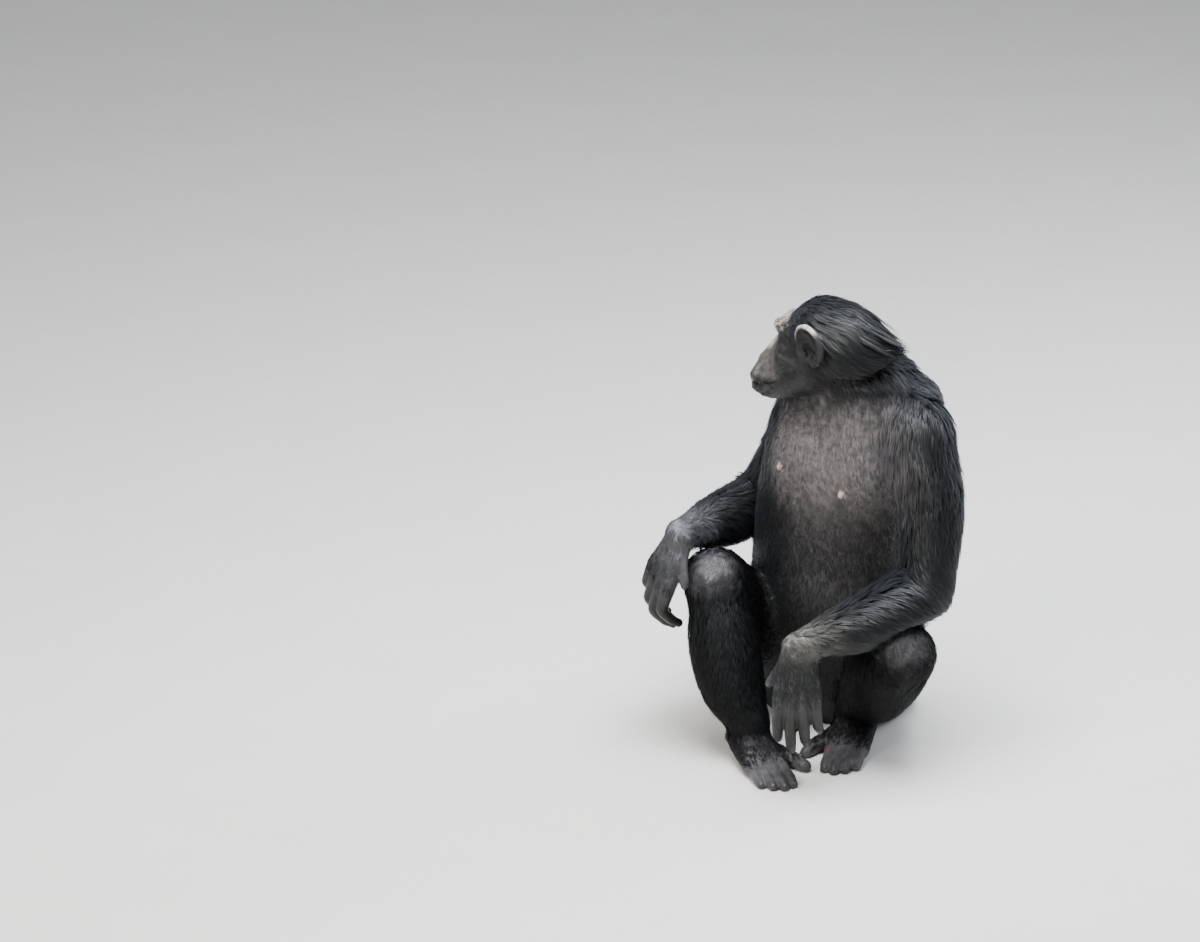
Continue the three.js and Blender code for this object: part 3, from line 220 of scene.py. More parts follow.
def tube(stations, per_span=4):
    """A round tube through stations x, y, z and radius."""
    rows = smooth_rows(stations, per_span)

    def field(p):
        best = np.full(len(p), FAR)
        for a, b in zip(rows[:-1], rows[1:]):
            d = b - a
            q = p - a[:3]
            t = np.clip(q @ d[:3] / max(d[:3] @ d[:3], 1e-9), 0, 1)
            away = q - t[:, None] * d[:3]
            distance = np.sqrt(np.einsum("ij,ij->i", away, away)) - a[3] - t * d[3]
            np.minimum(best, distance, out=best)
        return best

    low = (rows[:, :3] - rows[:, 3:]).min(0) - REACH
    high = (rows[:, :3] + rows[:, 3:]).max(0) + REACH
    return near_box(low, high, field)


def ellipsoid(centre, radii, axes=None):
    centre = np.array(centre, float)
    radii = np.array(radii, float)

    def field(p):
        q = p - centre if axes is None else (p - centre) @ axes.T
        k = q / radii
        k0 = np.linalg.norm(k, axis=1)
        k1 = np.linalg.norm(k / radii, axis=1)
        return k0 * (k0 - 1) / np.maximum(k1, 1e-9)

    reach = radii.max() + REACH
    return near_box(centre - reach, centre + reach, field)


def blend(a, b, k):
    """Two distances joined with a fillet about k wide."""
    h = np.maximum(k - np.abs(a - b), 0) / k
    return np.minimum(a, b) - h * h * k / 4


def joined(k, *distances):
    out = distances[0]
    for other in distances[1:]:
        out = blend(out, other, k)
    return out


def hollowed(a, b, k):
    return -blend(-a, b, k)


def union(k, *fields):
    return lambda p: joined(k, *(f(p) for f in fields))


# How much of a coat counts: none for the skin, all of it for the tips
def bare(coat):
    return np.asarray(coat, float) * 0


def whole(coat):
    return np.asarray(coat, float)


def trunk_field(kept):
    rows = smooth_rows(TRUNK, 4)

    def oval(p):
        z = p[:, 2]
        cx, cy, a, b, turn, front, back = (np.interp(z, rows[:, 0], rows[:, i]) for i in range(1, 8))
        c, s = np.cos(np.radians(turn)), np.sin(np.radians(turn))
        dx, dy = p[:, 0] - cx, p[:, 1] - cy
        wide, deep = np.abs((dx * c - dy * s) / a), (dx * s + dy * c) / b
        k = (wide ** ROUND + np.abs(deep) ** ROUND) ** (1 / ROUND)
        side = (k - 1) * (b + (a - b) * wide / (wide + np.abs(deep) + 1e-9))
        coat = front + (back - front) * np.clip(0.5 + deep / np.maximum(k, 0.3), 0, 1)
        over = np.maximum(z - rows[-1, 0], rows[0, 0] - z)
        outer = np.where((side > 0) & (over > 0), np.hypot(side, over), np.maximum(side, over))
        return outer + coat - kept(coat)

    masses = []
    for at, radii, turn, coat in TRUNK_MASSES:
        c, s = from_degrees(turn)
        under = coat - kept(coat)
        masses.append(ellipsoid(at, np.array(radii) - under, np.array([(c, -s, 0), (s, c, 0), (0, 0, 1)])))
    return union(4, union(30, oval, *masses), *(ellipsoid(at, (5.5, 7, 5.5)) for at in NIPPLES))


def bone_stations(side, part, kept):
    start, end, rows = LIMBS[part]
    a, b = np.array(JOINT[side][start], float), np.array(JOINT[side][end], float)
    bow = np.array(BOW[side][part], float)
    return [(*(a + (b - a) * t + bow * sag), radius + kept(coat)) for t, radius, coat, sag in rows]


def head_frame():
    c, s = from_degrees(HEAD["turn"])
    level, drop = from_degrees(HEAD["nod"])
    x = np.array((c * level, s * level, -drop))
    y = np.array((-s, c, 0))
    return np.array(HEAD["origin"], float), np.array((x, y, np.cross(x, y)))


HEAD_FRAME = head_frame()


def lip_stations(z, radius, inset):
    """A lip runs round the front of the muzzle and back to both corners of the mouth."""
    corner_x, corner_y = MOUTH["corner"]
    corners = [(corner_x, (corner_y - inset) * s, z * 0.96 + 3, radius * 0.7) for s in (-1, 1)]
    front = []
    for turn in (-78, -50, -25, 0, 25, 50, 78):
        c, s = from_degrees(turn)
        reach = MOUTH["reach"] - inset
        front.append((MOUTH["x"] + reach * c, reach * s, z, radius))
    return [corners[0], *front, corners[1]]


def both(make):
    return [make(1), make(-1)]


def face_folds():
    """Creases of the face: under the eyes, beside the nose and round the muzzle, as thin tubes."""
    folds = []
    for s in (1, -1):
        folds.append([(66, 15 * s, 7, 0.9), (69, 27 * s, 3, 1.1), (62, 40 * s, 6, 0.8)])
        folds.append([(72, 14 * s, 1, 0.7), (73, 27 * s, -4, 0.9), (66, 40 * s, -1, 0.6)])
        folds.append([
            (99, 16 * s, -10, 0.9), (104, 24 * s, -24, 1.3), (103, 33 * s, -42, 1.2), (94, 40 * s, -58, 0.8)])
        folds.append([(92, 21 * s, -13, 0.7), (95, 30 * s, -27, 1.0), (92, 38 * s, -42, 0.8)])
        folds.append([(82, 24 * s, -14, 0.6), (84, 34 * s, -26, 0.8), (80, 41 * s, -38, 0.6)])
        for row in range(3):
            x = 117 - 7 * row
            folds.append([(x + 14, 12 * s, -46 + 2 * row, 0.5), (x + 10, 24 * s, -49 + row, 0.8),
                          (x - 3, 35 * s, -55 + row, 0.6)])
    return union(0.5, *(tube(rows, 3) for rows in folds))


MOUTH_LINE = tube(lip_stations(MOUTH["z"], MOUTH["groove"], 0.4), 6)
FOLD_LINES = face_folds()


def head_field(kept):
    """The head in its own frame: skull and hair, brow, cheeks, muzzle, nose, jaw, lips and lids."""
    crown, back, whisker = kept(9), kept(26), kept(6)
    skull = union(
        30,
        ellipsoid((4, 0, 8), (62 + crown * 0.4, 57 + crown * 0.7, 54 + crown)),
        ellipsoid((-38, 4, 2), (48 + back, 52 + back * 0.7, 50 + back)),
    )
    brow = tube([(50, -46, 30, 8), (65, -27, 38, 10.5), (71, 0, 35, 9), (65, 27, 38, 10.5), (50, 46, 30, 8)])
    cheeks = both(lambda s: tube([(50, 47 * s, 20, 9), (52, 51 * s, -2, 13), (22, 56 * s, -14, 14)]))
    muzzle = tube([(56, 0, -26, 42), (86, 0, -45, 39), (111, 0, -61, 35)])
    hollow = both(lambda s: ellipsoid((60, 30 * s, -30), (26, 22, 26)))
    nose = union(
        8,
        tube([(72, 0, 16, 7), (92, 0, -3, 9), (113, 0, -24, 9.5), (121, 0, -30, 8)]),
        *both(lambda s: tube([(112, 12 * s, -30, 7.5), (120, 7 * s, -31, 7)])),
    )
    jaw = both(lambda s: tube(
        [(98, 20 * s, -80, 16), (56, 40 * s, -70, 20 + whisker), (14, 48 * s, -50, 22 + whisker)]))
    face = union(
        14,
        ellipsoid((36, 0, -14), (40, 46, 50)),
        muzzle,
        *hollow,
        *cheeks,
        *jaw,
        ellipsoid((118, 0, -86), (22, 23, 13)),
        ellipsoid((40, 0, -62), (52, 42, 38)),
    )
    sockets = both(lambda s: ellipsoid((68, 27 * s, 16), (12, 15, 10.5)))
    lips = [tube(lip_stations(MOUTH["z"] + up, MOUTH["lip"], MOUTH["lip"] - 3)) for up in (9, -10)]
    ex, ey, ez = EYE["at"]
    lids = both(lambda s: ellipsoid((ex, ey * s, ez), [EYE["radius"] + EYE["lid"]] * 3))
    slits = both(lambda s: ellipsoid((ex + 9, ey * s, ez - 0.5), (12, 10, 4.2)))
    balls = both(lambda s: ellipsoid((ex, ey * s, ez), [EYE["radius"] + 0.3] * 3))
    nx, ny, nz = NOSTRIL["at"]
    nostrils = both(lambda s: ellipsoid((nx, ny * s, nz), NOSTRIL["radii"]))

    def field(p):
        out = blend(blend(skull(p), face(p), 18), brow(p), 8)
        for socket in sockets:
            out = hollowed(out, socket(p), 9)
        out = joined(7, out, nose(p), lips[0](p), lips[1](p))
        for lid, slit, ball in zip(lids, slits, balls):
            out = blend(out, lid(p), 2.5)
            out = hollowed(out, slit(p), 1.2)
            out = hollowed(out, ball(p), 0.4)
        for nostril in nostrils:
            out = hollowed(out, nostril(p), 2)
        out = hollowed(out, MOUTH_LINE(p), 1.6)
        return hollowed(out, FOLD_LINES(p), 2.2)

    def placed(p):
        return field(to_frame(HEAD_FRAME, p))

    centre = np.array(HEAD["origin"], float)
    return near_box(centre - SPAN["head"], centre + SPAN["head"], placed)


def neck_coat(p):
    """How deep the coat of the neck is: long on the nape, and short on the throat and below the mane."""
    q = to_frame(HEAD_FRAME, p)
    nape = smooth_step(10, -50, q[:, 0])
    mane = smooth_step(672, 712, p[:, 2])
    return 9 + (7 + 30 * mane) * nape


def neck_field(kept):
    top = from_frame(HEAD_FRAME, (-40, 0, -18))
    foot = np.array((92, 66, 640), float)
    outer = tube([
        (*from_frame(HEAD_FRAME, (0, 0, 4)), 70),
        (*from_frame(HEAD_FRAME, (-30, 0, -2)), 90),
        (*(top + (foot - top) * 0.35), 90),
        (*(top + (foot - top) * 0.7), 95),
        (*foot, 92),
    ])

    def field(p):
        coat = neck_coat(p)
        return outer(p) + coat - kept(coat)

    return field


def hand_frame(side):
    """A hand's frame has z to the fingers, x to the thumb's side and y out of the palm."""
    z = unit(HAND[side]["fingers"])
    x = upright(HAND[side]["thumbward"], z)
    return np.array(JOINT[side]["wrist"], float), np.array((x, np.cross(z, x) * SIDES[side], z))


def finger_lines(side):
    """Each finger's stations in the hand's frame, from the wrist to the tip."""
    curl = HAND[side]["curl"]
    lines = []
    for offset, bones, splay in FINGERS:
        out = unit((math.tan(math.radians(splay)), 0, 1))
        way = unit(out + np.array((0, math.tan(math.radians(curl[0])), 0)))
        palmward = upright((0, 1, 0), out)
        place = np.array((offset, 0, bones[0]), float)
        root = np.array((offset * 0.42, 0, 0))
        rows = [(*root, FINGER_RADII[0]), (*(root + (place - root) * 0.6), FINGER_RADII[1])]
        bend = 0.0
        for i, length in enumerate(bones[1:]):
            bend += math.radians(curl[i]) if i else 0.0
            ahead = way * math.cos(bend) + palmward * math.sin(bend)
            rows.append((*(place + ahead * (length * 0.12 if i else 0)), FINGER_RADII[2 + 2 * i]))
            rows.append((*(place + ahead * length * 0.75), FINGER_RADII[3 + 2 * i]))
            place = place + ahead * length
        lines.append((rows + [(*place, FINGER_RADII[-1])], ahead, upright(-palmward, ahead)))
    return lines


def thumb_line():
    way = unit((math.tan(math.radians(THUMB["splay"])), 0.35, 1))
    root = np.array((THUMB["offset"], 0, THUMB["root"]), float)
    places = [np.array((8, 0, 12)), root, root + way * THUMB["length"] * 0.6, root + way * THUMB["length"]]
    rows = [(*place, radius) for place, radius in zip(places, THUMB["radii"])]
    return rows, way, upright((0.6, -1, 0), way)


def hand_field(side):
    f = hand_frame(side)
    digits = [tube(rows, 3) for rows, _, _ in finger_lines(side)]
    palm = union(9, ellipsoid((0, 5, 38), (33, 15, 40)), tube(thumb_line()[0], 3))

    def field(p):
        q = to_frame(f, p)
        return blend(palm(q), joined(5, *(d(q) for d in digits)), 8)

    return near_box(f[0] - SPAN["hand"], f[0] + SPAN["hand"], field)


def foot_frame(side):
    """A foot's frame stands on the floor below the ankle, with y to the toes and x to the big toe."""
    y = unit(FOOT[side])
    ankle_x, ankle_y, _ = JOINT[side]["ankle"]
    return np.array((ankle_x, ankle_y, 0.0)), np.array((np.cross(y, (0, 0, 1)) * SIDES[side], y, (0, 0, 1)))


def toe_lines():
    lines = []
    for offset, reach, radius in TOES:
        lines.append([
            (offset * 0.5, 14, 36, 26),
            (offset * 0.8, 58, 24, 19),
            (offset, reach - 58, 15, radius + 4),
            (offset * 1.04, reach - 34, 15.5, radius),
            (offset * 1.06, reach - 17, 13, radius),
            (offset * 1.06, reach, 7.5, radius * 0.8),
        ])
    return [[(x, y, z - SOLE, r) for x, y, z, r in rows] for rows in [*lines, BIG_TOE]]


def foot_field(side):
    f = foot_frame(side)
    ankle = JOINT[side]["ankle"][2] - SOLE
    heel = tube([(0, -34, 27 - SOLE, 27), (-2, 4, 38 - SOLE, 32), (0, 0, ankle, 33)], 3)
    *toes, big_toe = [tube(rows, 3) for rows in toe_lines()]

    def field(p):
        q = to_frame(f, p)
        return blend(joined(6, heel(q), *(t(q) for t in toes)), big_toe(q), 10)

    return near_box(f[0] - SPAN["foot"], f[0] + SPAN["foot"], field)


class Body:
    """The whole animal as fields, bare or out to the tips of its coat."""

    def __init__(self, kept):
        self.fields = {"trunk": trunk_field(kept), "head": head_field(kept), "neck": neck_field(kept)}
        for side in SIDES:
            for part in LIMBS:
                self.fields[f"{part}_{side}"] = tube(bone_stations(side, part, kept))
            self.fields[f"hand_{side}"] = hand_field(side)
            self.fields[f"foot_{side}"] = foot_field(side)

    def parts(self, p):
        return {name: field(p) for name, field in self.fields.items()}

    def merged(self, d):
        """One distance from those of the parts, with a fillet only between parts that grow together."""
        hips = joined(FILLET["thigh"], d["trunk"], d["thigh_left"], d["thigh_right"])
        groups = [
            joined(FILLET["arm"], hips, d["upper_arm_left"], d["upper_arm_right"], d["neck"]),
            blend(d["head"], d["neck"], FILLET["head"]),
        ]
        for side in SIDES:
            arm = blend(d[f"upper_arm_{side}"], d[f"forearm_{side}"], FILLET["elbow"])
            groups.append(blend(arm, d[f"hand_{side}"], FILLET["wrist"]))
            leg = blend(d[f"thigh_{side}"], d[f"lower_leg_{side}"], FILLET["knee"])
            groups.append(blend(leg, d[f"foot_{side}"], FILLET["ankle"]))
        return joined(FILLET["crease"], *groups)

    def __call__(self, p):
        # The floor presses the soft parts flat
        return hollowed(self.merged(self.parts(p)), p[:, 2] - 0.5, 3)


# Surfaces from fields

def grid_values(field, low, high, size, levels):
    """The field on a grid of that size, worked out finely only near the surface."""
    step = size * 2 ** levels
    counts = np.ceil((high - low) / step).astype(int)
    values = field(low + (np.argwhere(np.ones(counts, bool)) + 0.5) * step).reshape(counts)
    for _ in range(levels):
        near = np.abs(values) < 1.6 * step
        for axis in range(3):
            values = values.repeat(2, axis)
            near = near.repeat(2, axis)
        step /= 2
        values[near] = field(low + (np.argwhere(near) + 0.5) * step)
    return values


def slope_at(field, p, here, h=0.4):
    """How steeply the field rises along x, y and z, from its values here and a little further on."""
    return np.stack([field(p + h * axis) - here for axis in np.eye(3)], 1) / h


def settled(field, p, most):
    """Points moved onto the field's surface, by at most so much."""
    here = field(p)
    slope = slope_at(field, p, here)
    steep = np.maximum(np.linalg.norm(slope, axis=1), 0.3)
    return p - slope * (np.clip(here / steep, -most, most) / steep)[:, None]


def net(field, low, high, size, levels):
    """The closed surface of a field: points, and quads that face out."""
    values = grid_values(field, low, high, size, levels)
    inside = values < 0
    corners = [(i, j, k) for i in (0, 1) for j in (0, 1) for k in (0, 1)]
    n = np.array(values.shape)
    filled = np.zeros(n - 1, int)
    for i, j, k in corners:
        filled += inside[i:n[0] - 1 + i, j:n[1] - 1 + j, k:n[2] - 1 + k]
    mixed = (filled > 0) & (filled < 8)
    cells = np.argwhere(mixed)
    number = np.full(n - 1, -1)
    number[mixed] = np.arange(len(cells))
    total = np.zeros((len(cells), 3))
    count = np.zeros(len(cells))
    for a in corners:
        for axis in range(3):
            if a[axis]:
                continue
            b = list(a)
            b[axis] = 1
            va = values[tuple((cells + a).T)]
            vb = values[tuple((cells + b).T)]
            crossed = (va < 0) != (vb < 0)
            place = np.tile(np.array(a, float), (len(cells), 1))
            place[:, axis] = np.where(crossed, va / np.where(crossed, va - vb, 1), 0)
            total += place * crossed[:, None]
            count += crossed
    points = low + (cells + 0.5 + total / count[:, None]) * size
    quads = []
    for axis in range(3):
        u, w = (axis + 1) % 3, (axis + 2) % 3
        first = [slice(1, -1)] * 3
        first[axis] = slice(0, -1)
        second = list(first)
        second[axis] = slice(1, None)
        a, b = inside[tuple(first)], inside[tuple(second)]
        at = np.argwhere(a != b)
        out = a[tuple(at.T)]
        at += [0 if i == axis else 1 for i in range(3)]
        back_u, back_w = np.zeros(3, int), np.zeros(3, int)
        back_u[u], back_w[w] = 1, 1
        ring = np.stack([number[tuple(c.T)] for c in (at, at - back_u, at - back_u - back_w, at - back_w)], 1)
        quads.append(np.where(out[:, None], ring, ring[:, ::-1]))
    return settled(field, points, size * 0.5), np.concatenate(quads)


SKIN = Body(bare)
TIPS = Body(whole)
MARGIN = 24
LOW = np.array(cad_box[0]) / MM + ORIGIN - MARGIN
HIGH = np.array(cad_box[1]) / MM + ORIGIN + MARGIN


# Meshes

def mesh_object(name, points, faces, slot, material):
    """A piece that rides on the body, from points in the frame of the joints and faces of one size."""
    mesh = bpy.data.meshes.new(name)
    faces = np.asarray(faces, np.int32)
    count, corners = faces.shape
    mesh.vertices.add(len(points))
    mesh.vertices.foreach_set("co", ((points - ORIGIN) * MM).astype(np.float32).ravel())
    mesh.loops.add(count * corners)
    mesh.loops.foreach_set("vertex_index", faces.ravel())
    mesh.polygons.add(count)
    mesh.polygons.foreach_set("loop_start", np.arange(count, dtype=np.int32) * corners)
    mesh.polygons.foreach_set("use_smooth", np.full(count, True))
    mesh.update(calc_edges=True)
    mesh.materials.append(material)
    piece = bpy.data.objects.new(name, mesh)
    bpy.context.scene.collection.objects.link(piece)
    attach(piece, "root")
    return piece


def points_of(mesh):
    co = np.empty(len(mesh.vertices) * 3, np.float32)
    mesh.vertices.foreach_get("co", co)
    return co.reshape(-1, 3).astype(float) / MM + ORIGIN


def paint(piece, name, colours):
    """A colour at each point, in linear light."""
    layer = piece.data.color_attributes.new(name, "FLOAT_COLOR", "POINT")
    rgba = np.ones((len(colours), 4), np.float32)
    rgba[:, :3] = colours
    layer.data.foreach_set("color", rgba.ravel())


def refined(piece, wanted, field, most):
    """Halves the size of the faces whose middles are wanted, and settles their points on the field."""
    mesh = piece.data
    bm = bmesh.new()
    bm.from_mesh(mesh)
    middles = np.array([f.calc_center_median()[:] for f in bm.faces]) / MM + ORIGIN
    chosen = np.flatnonzero(wanted(middles))
    bm.faces.ensure_lookup_table()
    edges = {edge for i in chosen for edge in bm.faces[i].edges}
    bmesh.ops.subdivide_edges(bm, edges=list(edges), cuts=1, use_grid_fill=True)
    bm.to_mesh(mesh)
    bm.free()
    points = points_of(mesh)
    near = wanted(points)
    points[near] = settled(field, points[near], most)
    mesh.vertices.foreach_set("co", ((points - ORIGIN) * MM).astype(np.float32).ravel())
    mesh.update()


def linear(hex_colour):
    """An sRGB colour, such as #6b5f58, in linear light."""
    value = [int(hex_colour[i:i + 2], 16) / 255 for i in (1, 3, 5)]
    return np.array([c / 12.92 if c <= 0.04045 else ((c + 0.055) / 1.055) ** 2.4 for c in value])


def smooth_step(low, high, x):
    t = np.clip((x - low) / (high - low), 0, 1)
    return t * t * (3 - 2 * t)


def wander(p, size, seed):
    """A smooth random value between about -1 and 1 that changes over that many millimetres."""
    waves = np.random.default_rng(seed)
    out = np.zeros(len(p))
    for _ in range(6):
        way = unit(waves.normal(size=3)) * 2 * math.pi / (size * waves.uniform(0.7, 1.6))
        out += np.sin(p @ way + waves.uniform(0, 2 * math.pi))
    return out / 3


# Markings and painted light: each spot has a place, radii, colour of the skin, colour of the hair and
# strength.
# Those of the face are in the head's frame and the others in that of the joints.
# Some spots are painted highlights, sheen or shade, as each one says.
FACE_MARKS_AND_LIGHT = [
    ((64, 0, 40), (26, 60, 22), "#8c847d", "#1a1a1d", 0.9),  # brow: pale skin, with a painted highlight on it
    ((96, 0, -40), (52, 56, 52), "#5a5552", "#3c3a38", 0.85),  # muzzle
    ((92, 0, -4), (34, 15, 22), "#aaa39e", "#17171a", 0.85),  # bridge of the nose: pale skin, with a painted highlight on it
    ((126, 0, -46), (24, 30, 12), "#837d79", "#55524f", 0.7),  # upper lip
    *(((66, y, 4), (16, 20, 9), "#45403e", "#17171a", 0.6) for y in (28, -28)),  # below the eyes
    *(((67, y, 20), (9, 16, 8), "#262120", "#17171a", 0.75) for y in (27, -27)),  # lids
    *(((40, y, -30), (42, 30, 50), "#151211", "#040405", 0.95) for y in (60, -60)),  # cheeks
]
BODY_MARKS_AND_LIGHT = [
    ((158, -190, 262), (44, 36, 40), "#3f3d3e", "#3e3d3e", 0.75),  # left knee: greyer skin and hair, with a painted highlight
    ((-168, -22, 338), (58, 52, 50), "#3a3839", "#343336", 0.8),  # right knee: greyer skin and hair, with the soft edge of a painted highlight
    ((-166, -24, 343), (30, 28, 26), "#4a4849", "#747375", 0.8),  # painted highlight on the top of that knee
    ((-250, -30, 340), (50, 60, 60), "#4b4a4c", "#343436", 0.6),  # painted highlight on the back of the right hand
    ((100, -150, 350), (120, 90, 70), "#1d1c1e", "#16191d", 0.6),  # left forearm: lighter, bluish hair, a painted sheen
    ((-30, -215, 290), (72, 70, 46), "#6f6d68", "#474642", 0.75),  # left wrist: paler grey skin and hair, with a painted highlight on its top
    ((-225, 4, 392), (62, 66, 66), "#6c6b70", "#424245", 0.75),  # right wrist: paler grey skin and hair, with a painted highlight on its top
    ((-20, 0, 530), (100, 90, 100), "#5f5a5a", "#403d3f", 0.9),  # right of the chest
    ((85, -50, 540), (120, 90, 120), "#625d5d", "#403d3f", 0.9),  # left of the chest
    ((45, -30, 360), (120, 90, 110), "#3d3939", "#19191b", 0.7),  # belly
    ((60, 230, 400), (190, 90, 220), "#1d1a19", "#101114", 0.6),  # back and right flank
    ((140, 60, 640), (120, 110, 60), "#1d1a19", "#181a1e", 0.6),  # shoulders: lighter, bluish hair, a painted sheen
    ((110, -40, 690), (90, 80, 24), "#1a1716", "#060607", 0.8),  # left side of the neck: painted shade below the mane
    *((at, (9, 10, 9), "#a8938c", "#1c1c1f", 1.0) for at in NIPPLES),
    ((27, -97, 20), (7, 7, 7), "#7c2a2e", "#1c1c1f", 0.8),  # a red sore on the left foot
]
ON_SKIN, ON_HAIR = 0, 1  # which of a spot's two colours
BARE = "#181514"
HAND_SKIN = "#2d2c2f"
TOE_SKIN = "#4a4849"
COAT = "#060708"
# Painted shade in the mouth line and in the creases of the face
CREASE_SHADE = "#120f0e"


def marked(p, spots, column, colours):
    """Colours with the spots laid over them."""
    for at, radii, *tints, strength in spots:
        away = np.linalg.norm((p - np.array(at)) / np.array(radii), axis=1)
        share = strength * (1 - smooth_step(0.55, 1.25, away + 0.18 * wander(p, 16, 3)))
        colours = colours + (linear(tints[column]) - colours) * share[:, None]
    return colours


def markings_and_light(p, column):
    """The colour of the skin or of the hair at points in the frame of the joints, with painted highlights,
    sheen and shade laid in.
    """
    colours = np.tile(linear((BARE, COAT)[column]), (len(p), 1))
    if column == ON_SKIN:
        for side in SIDES:
            hand, foot = hand_frame(side), foot_frame(side)
            for f, reach, tint, start in ((hand, 150, HAND_SKIN, -200), (foot, 190, TOE_SKIN, 45)):
                q = to_frame(f, p)
                share = 1 - smooth_step(0.6 * reach, reach, np.linalg.norm(q, axis=1))
                share *= smooth_step(start, start + 50, q[:, 1])
                colours = colours + (linear(tint) - colours) * share[:, None]
    colours = marked(p, BODY_MARKS_AND_LIGHT, column, colours)
    q = to_frame(HEAD_FRAME, p)
    colours = marked(q, FACE_MARKS_AND_LIGHT, column, colours)
    if column == ON_SKIN:
        # The mouth line and the creases of the face are darkened: painted shade in them.
        mouth = 1 - smooth_step(0, 3, MOUTH_LINE(q))
        folds = 0.55 * (1 - smooth_step(0, 1.6, FOLD_LINES(q)))
        colours = colours + (linear(CREASE_SHADE) - colours) * np.maximum(mouth, folds)[:, None]
    return colours


# The bare face is an oval in the head's frame, with a hairline that wavers a little
FACE_OVAL = ((82, 0, -14), (52, 54, 72))


def face_share(p):
    """1 on the bare face, 0 past the hairline."""
    q = to_frame(HEAD_FRAME, p)
    k = np.linalg.norm((q - np.array(FACE_OVAL[0])) / np.array(FACE_OVAL[1]), axis=1)
    ahead = smooth_step(20, 40, q[:, 0])
    return ahead * (1 - smooth_step(1.0, 1.12, k + 0.05 * wander(p, 9, 5)))


# Skin

def skin_piece():
    points, quads = net(SKIN, LOW, HIGH, CELL["skin"], LEVELS)
    skin = mesh_object("skin", points, quads, "bare_skin", None)
    skin.data.materials.clear()
    ends = [(np.array(at), FINE["nipple"]) for at in NIPPLES]
    for side in SIDES:
        ends += [(hand_frame(side)[0], FINE["hand"]), (foot_frame(side)[0], FINE["foot"])]

    def on_ends(p):
        q = to_frame(HEAD_FRAME, p)
        near = (np.linalg.norm(q, axis=1) < FINE["head"]) & (q[:, 0] > 0)
        for at, reach in ends:
            near |= np.linalg.norm(p - at, axis=1) < reach
        return near

    def on_face(p):
        near = face_share(p) > 0.3
        for at in NIPPLES:
            near |= np.linalg.norm(p - np.array(at), axis=1) < FINEST
        return near

    refined(skin, on_ends, SKIN, 1.0)
    refined(skin, on_face, SKIN, 0.5)
    return skin


# Lie of the coat

def bone_way(side, part):
    start, end, _ = LIMBS[part]
    return unit(np.array(JOINT[side][end], float) - np.array(JOINT[side][start], float))


DOWN = np.array((0.0, 0.0, -1.0))


def lie_of(name, p):
    """Which way the hair of one part of the body lies."""
    if name == "head":
        q = to_frame(HEAD_FRAME, p)
        beside = smooth_step(5, -35, q[:, 0]) * smooth_step(40, 0, q[:, 2])
        cheek = smooth_step(-10, 25, q[:, 0]) * smooth_step(20, -30, q[:, 2])
        drop = 0.15 + 0.45 * beside + 0.9 * cheek
        return unit(-HEAD_FRAME[1][0] + DOWN * drop[:, None])
    if name == "neck":
        way = unit(-0.8 * HEAD_FRAME[1][0] + DOWN)
    elif name == "trunk":
        way = unit(np.array((0, 0.15, -1)))
    else:
        part, side = name.rsplit("_", 1)
        if part == "upper_arm":
            way = unit(bone_way(side, part) + 0.3 * DOWN)
        elif part == "forearm":
            way = unit(0.7 * DOWN - bone_way(side, part))
        elif part == "hand":
            way = hand_frame(side)[1][2]
        elif part == "foot":
            way = foot_frame(side)[1][1]
        else:
            way = unit(bone_way(side, part) + 0.35 * DOWN)
    return np.tile(way, (len(p), 1))


SHARED = 14  # the say of a part falls to about a third when it is this much further off than the nearest


def part_shares(p):
    """How much of a say each part of the body has at a point of the skin, the nearest the most."""
    d = SKIN.parts(p)
    nearest = np.min(list(d.values()), axis=0)
    shares = {name: np.exp(-np.clip((distance - nearest) / SHARED, 0, 30)) for name, distance in d.items()}
    total = sum(shares.values())
    return {name: share / total for name, share in shares.items()}


def lie(p, shares):
    """Which way the hair lies."""
    total = sum(lie_of(name, p) * share[:, None] for name, share in shares.items())
    total += 0.14 * np.stack([wander(p, 70, seed) for seed in (11, 12, 13)], 1)
    total += 0.05 * np.stack([wander(p, 18, seed) for seed in (14, 15, 16)], 1)
    return unit(total)


def coat_depth(p, shares):
    """How far the coat reaches out from the skin, without what neighbours add in a crease."""
    under, over = SKIN.parts(p), TIPS.parts(p)
    own = sum((under[name] - over[name]) * share for name, share in shares.items())
    return np.clip(np.minimum(own, -TIPS.merged(over)), 0, None)


# Where the coat grows: how dense it is, from 0 to 1

def palm_share(p):
    """1 on palms, soles, fingertips and toes, where no hair grows."""
    bare_part = np.zeros(len(p))

    def laid_bare(near, fade, part):
        own = smooth_step(0.1, 0.4, part_shares(p[near])[part])
        bare_part[near] = np.maximum(bare_part[near], fade[near] * own)

    for side in SIDES:
        q = to_frame(hand_frame(side), p)
        near = (np.abs(q[:, 0]) < 80) & (q[:, 2] > 2) & (q[:, 2] < 230) & (np.abs(q[:, 1]) < 120)
        palm = smooth_step(-4, 6, q[:, 1]) * smooth_step(0, 20, q[:, 2])
        laid_bare(near, np.maximum(smooth_step(70, 120, q[:, 2]), palm), "hand_" + side)
        q = to_frame(foot_frame(side), p)
        near = (np.abs(q[:, 0]) < 80) & (q[:, 2] < 90) & (q[:, 1] > -70) & (q[:, 1] < 190)
        sole = 1 - smooth_step(10, 22, q[:, 2])
        laid_bare(near, np.maximum(smooth_step(60, 105, q[:, 1]), sole), "foot_" + side)
    return bare_part


def on_head(x, y, z):
    return tuple(from_frame(HEAD_FRAME, (x, y, z)))


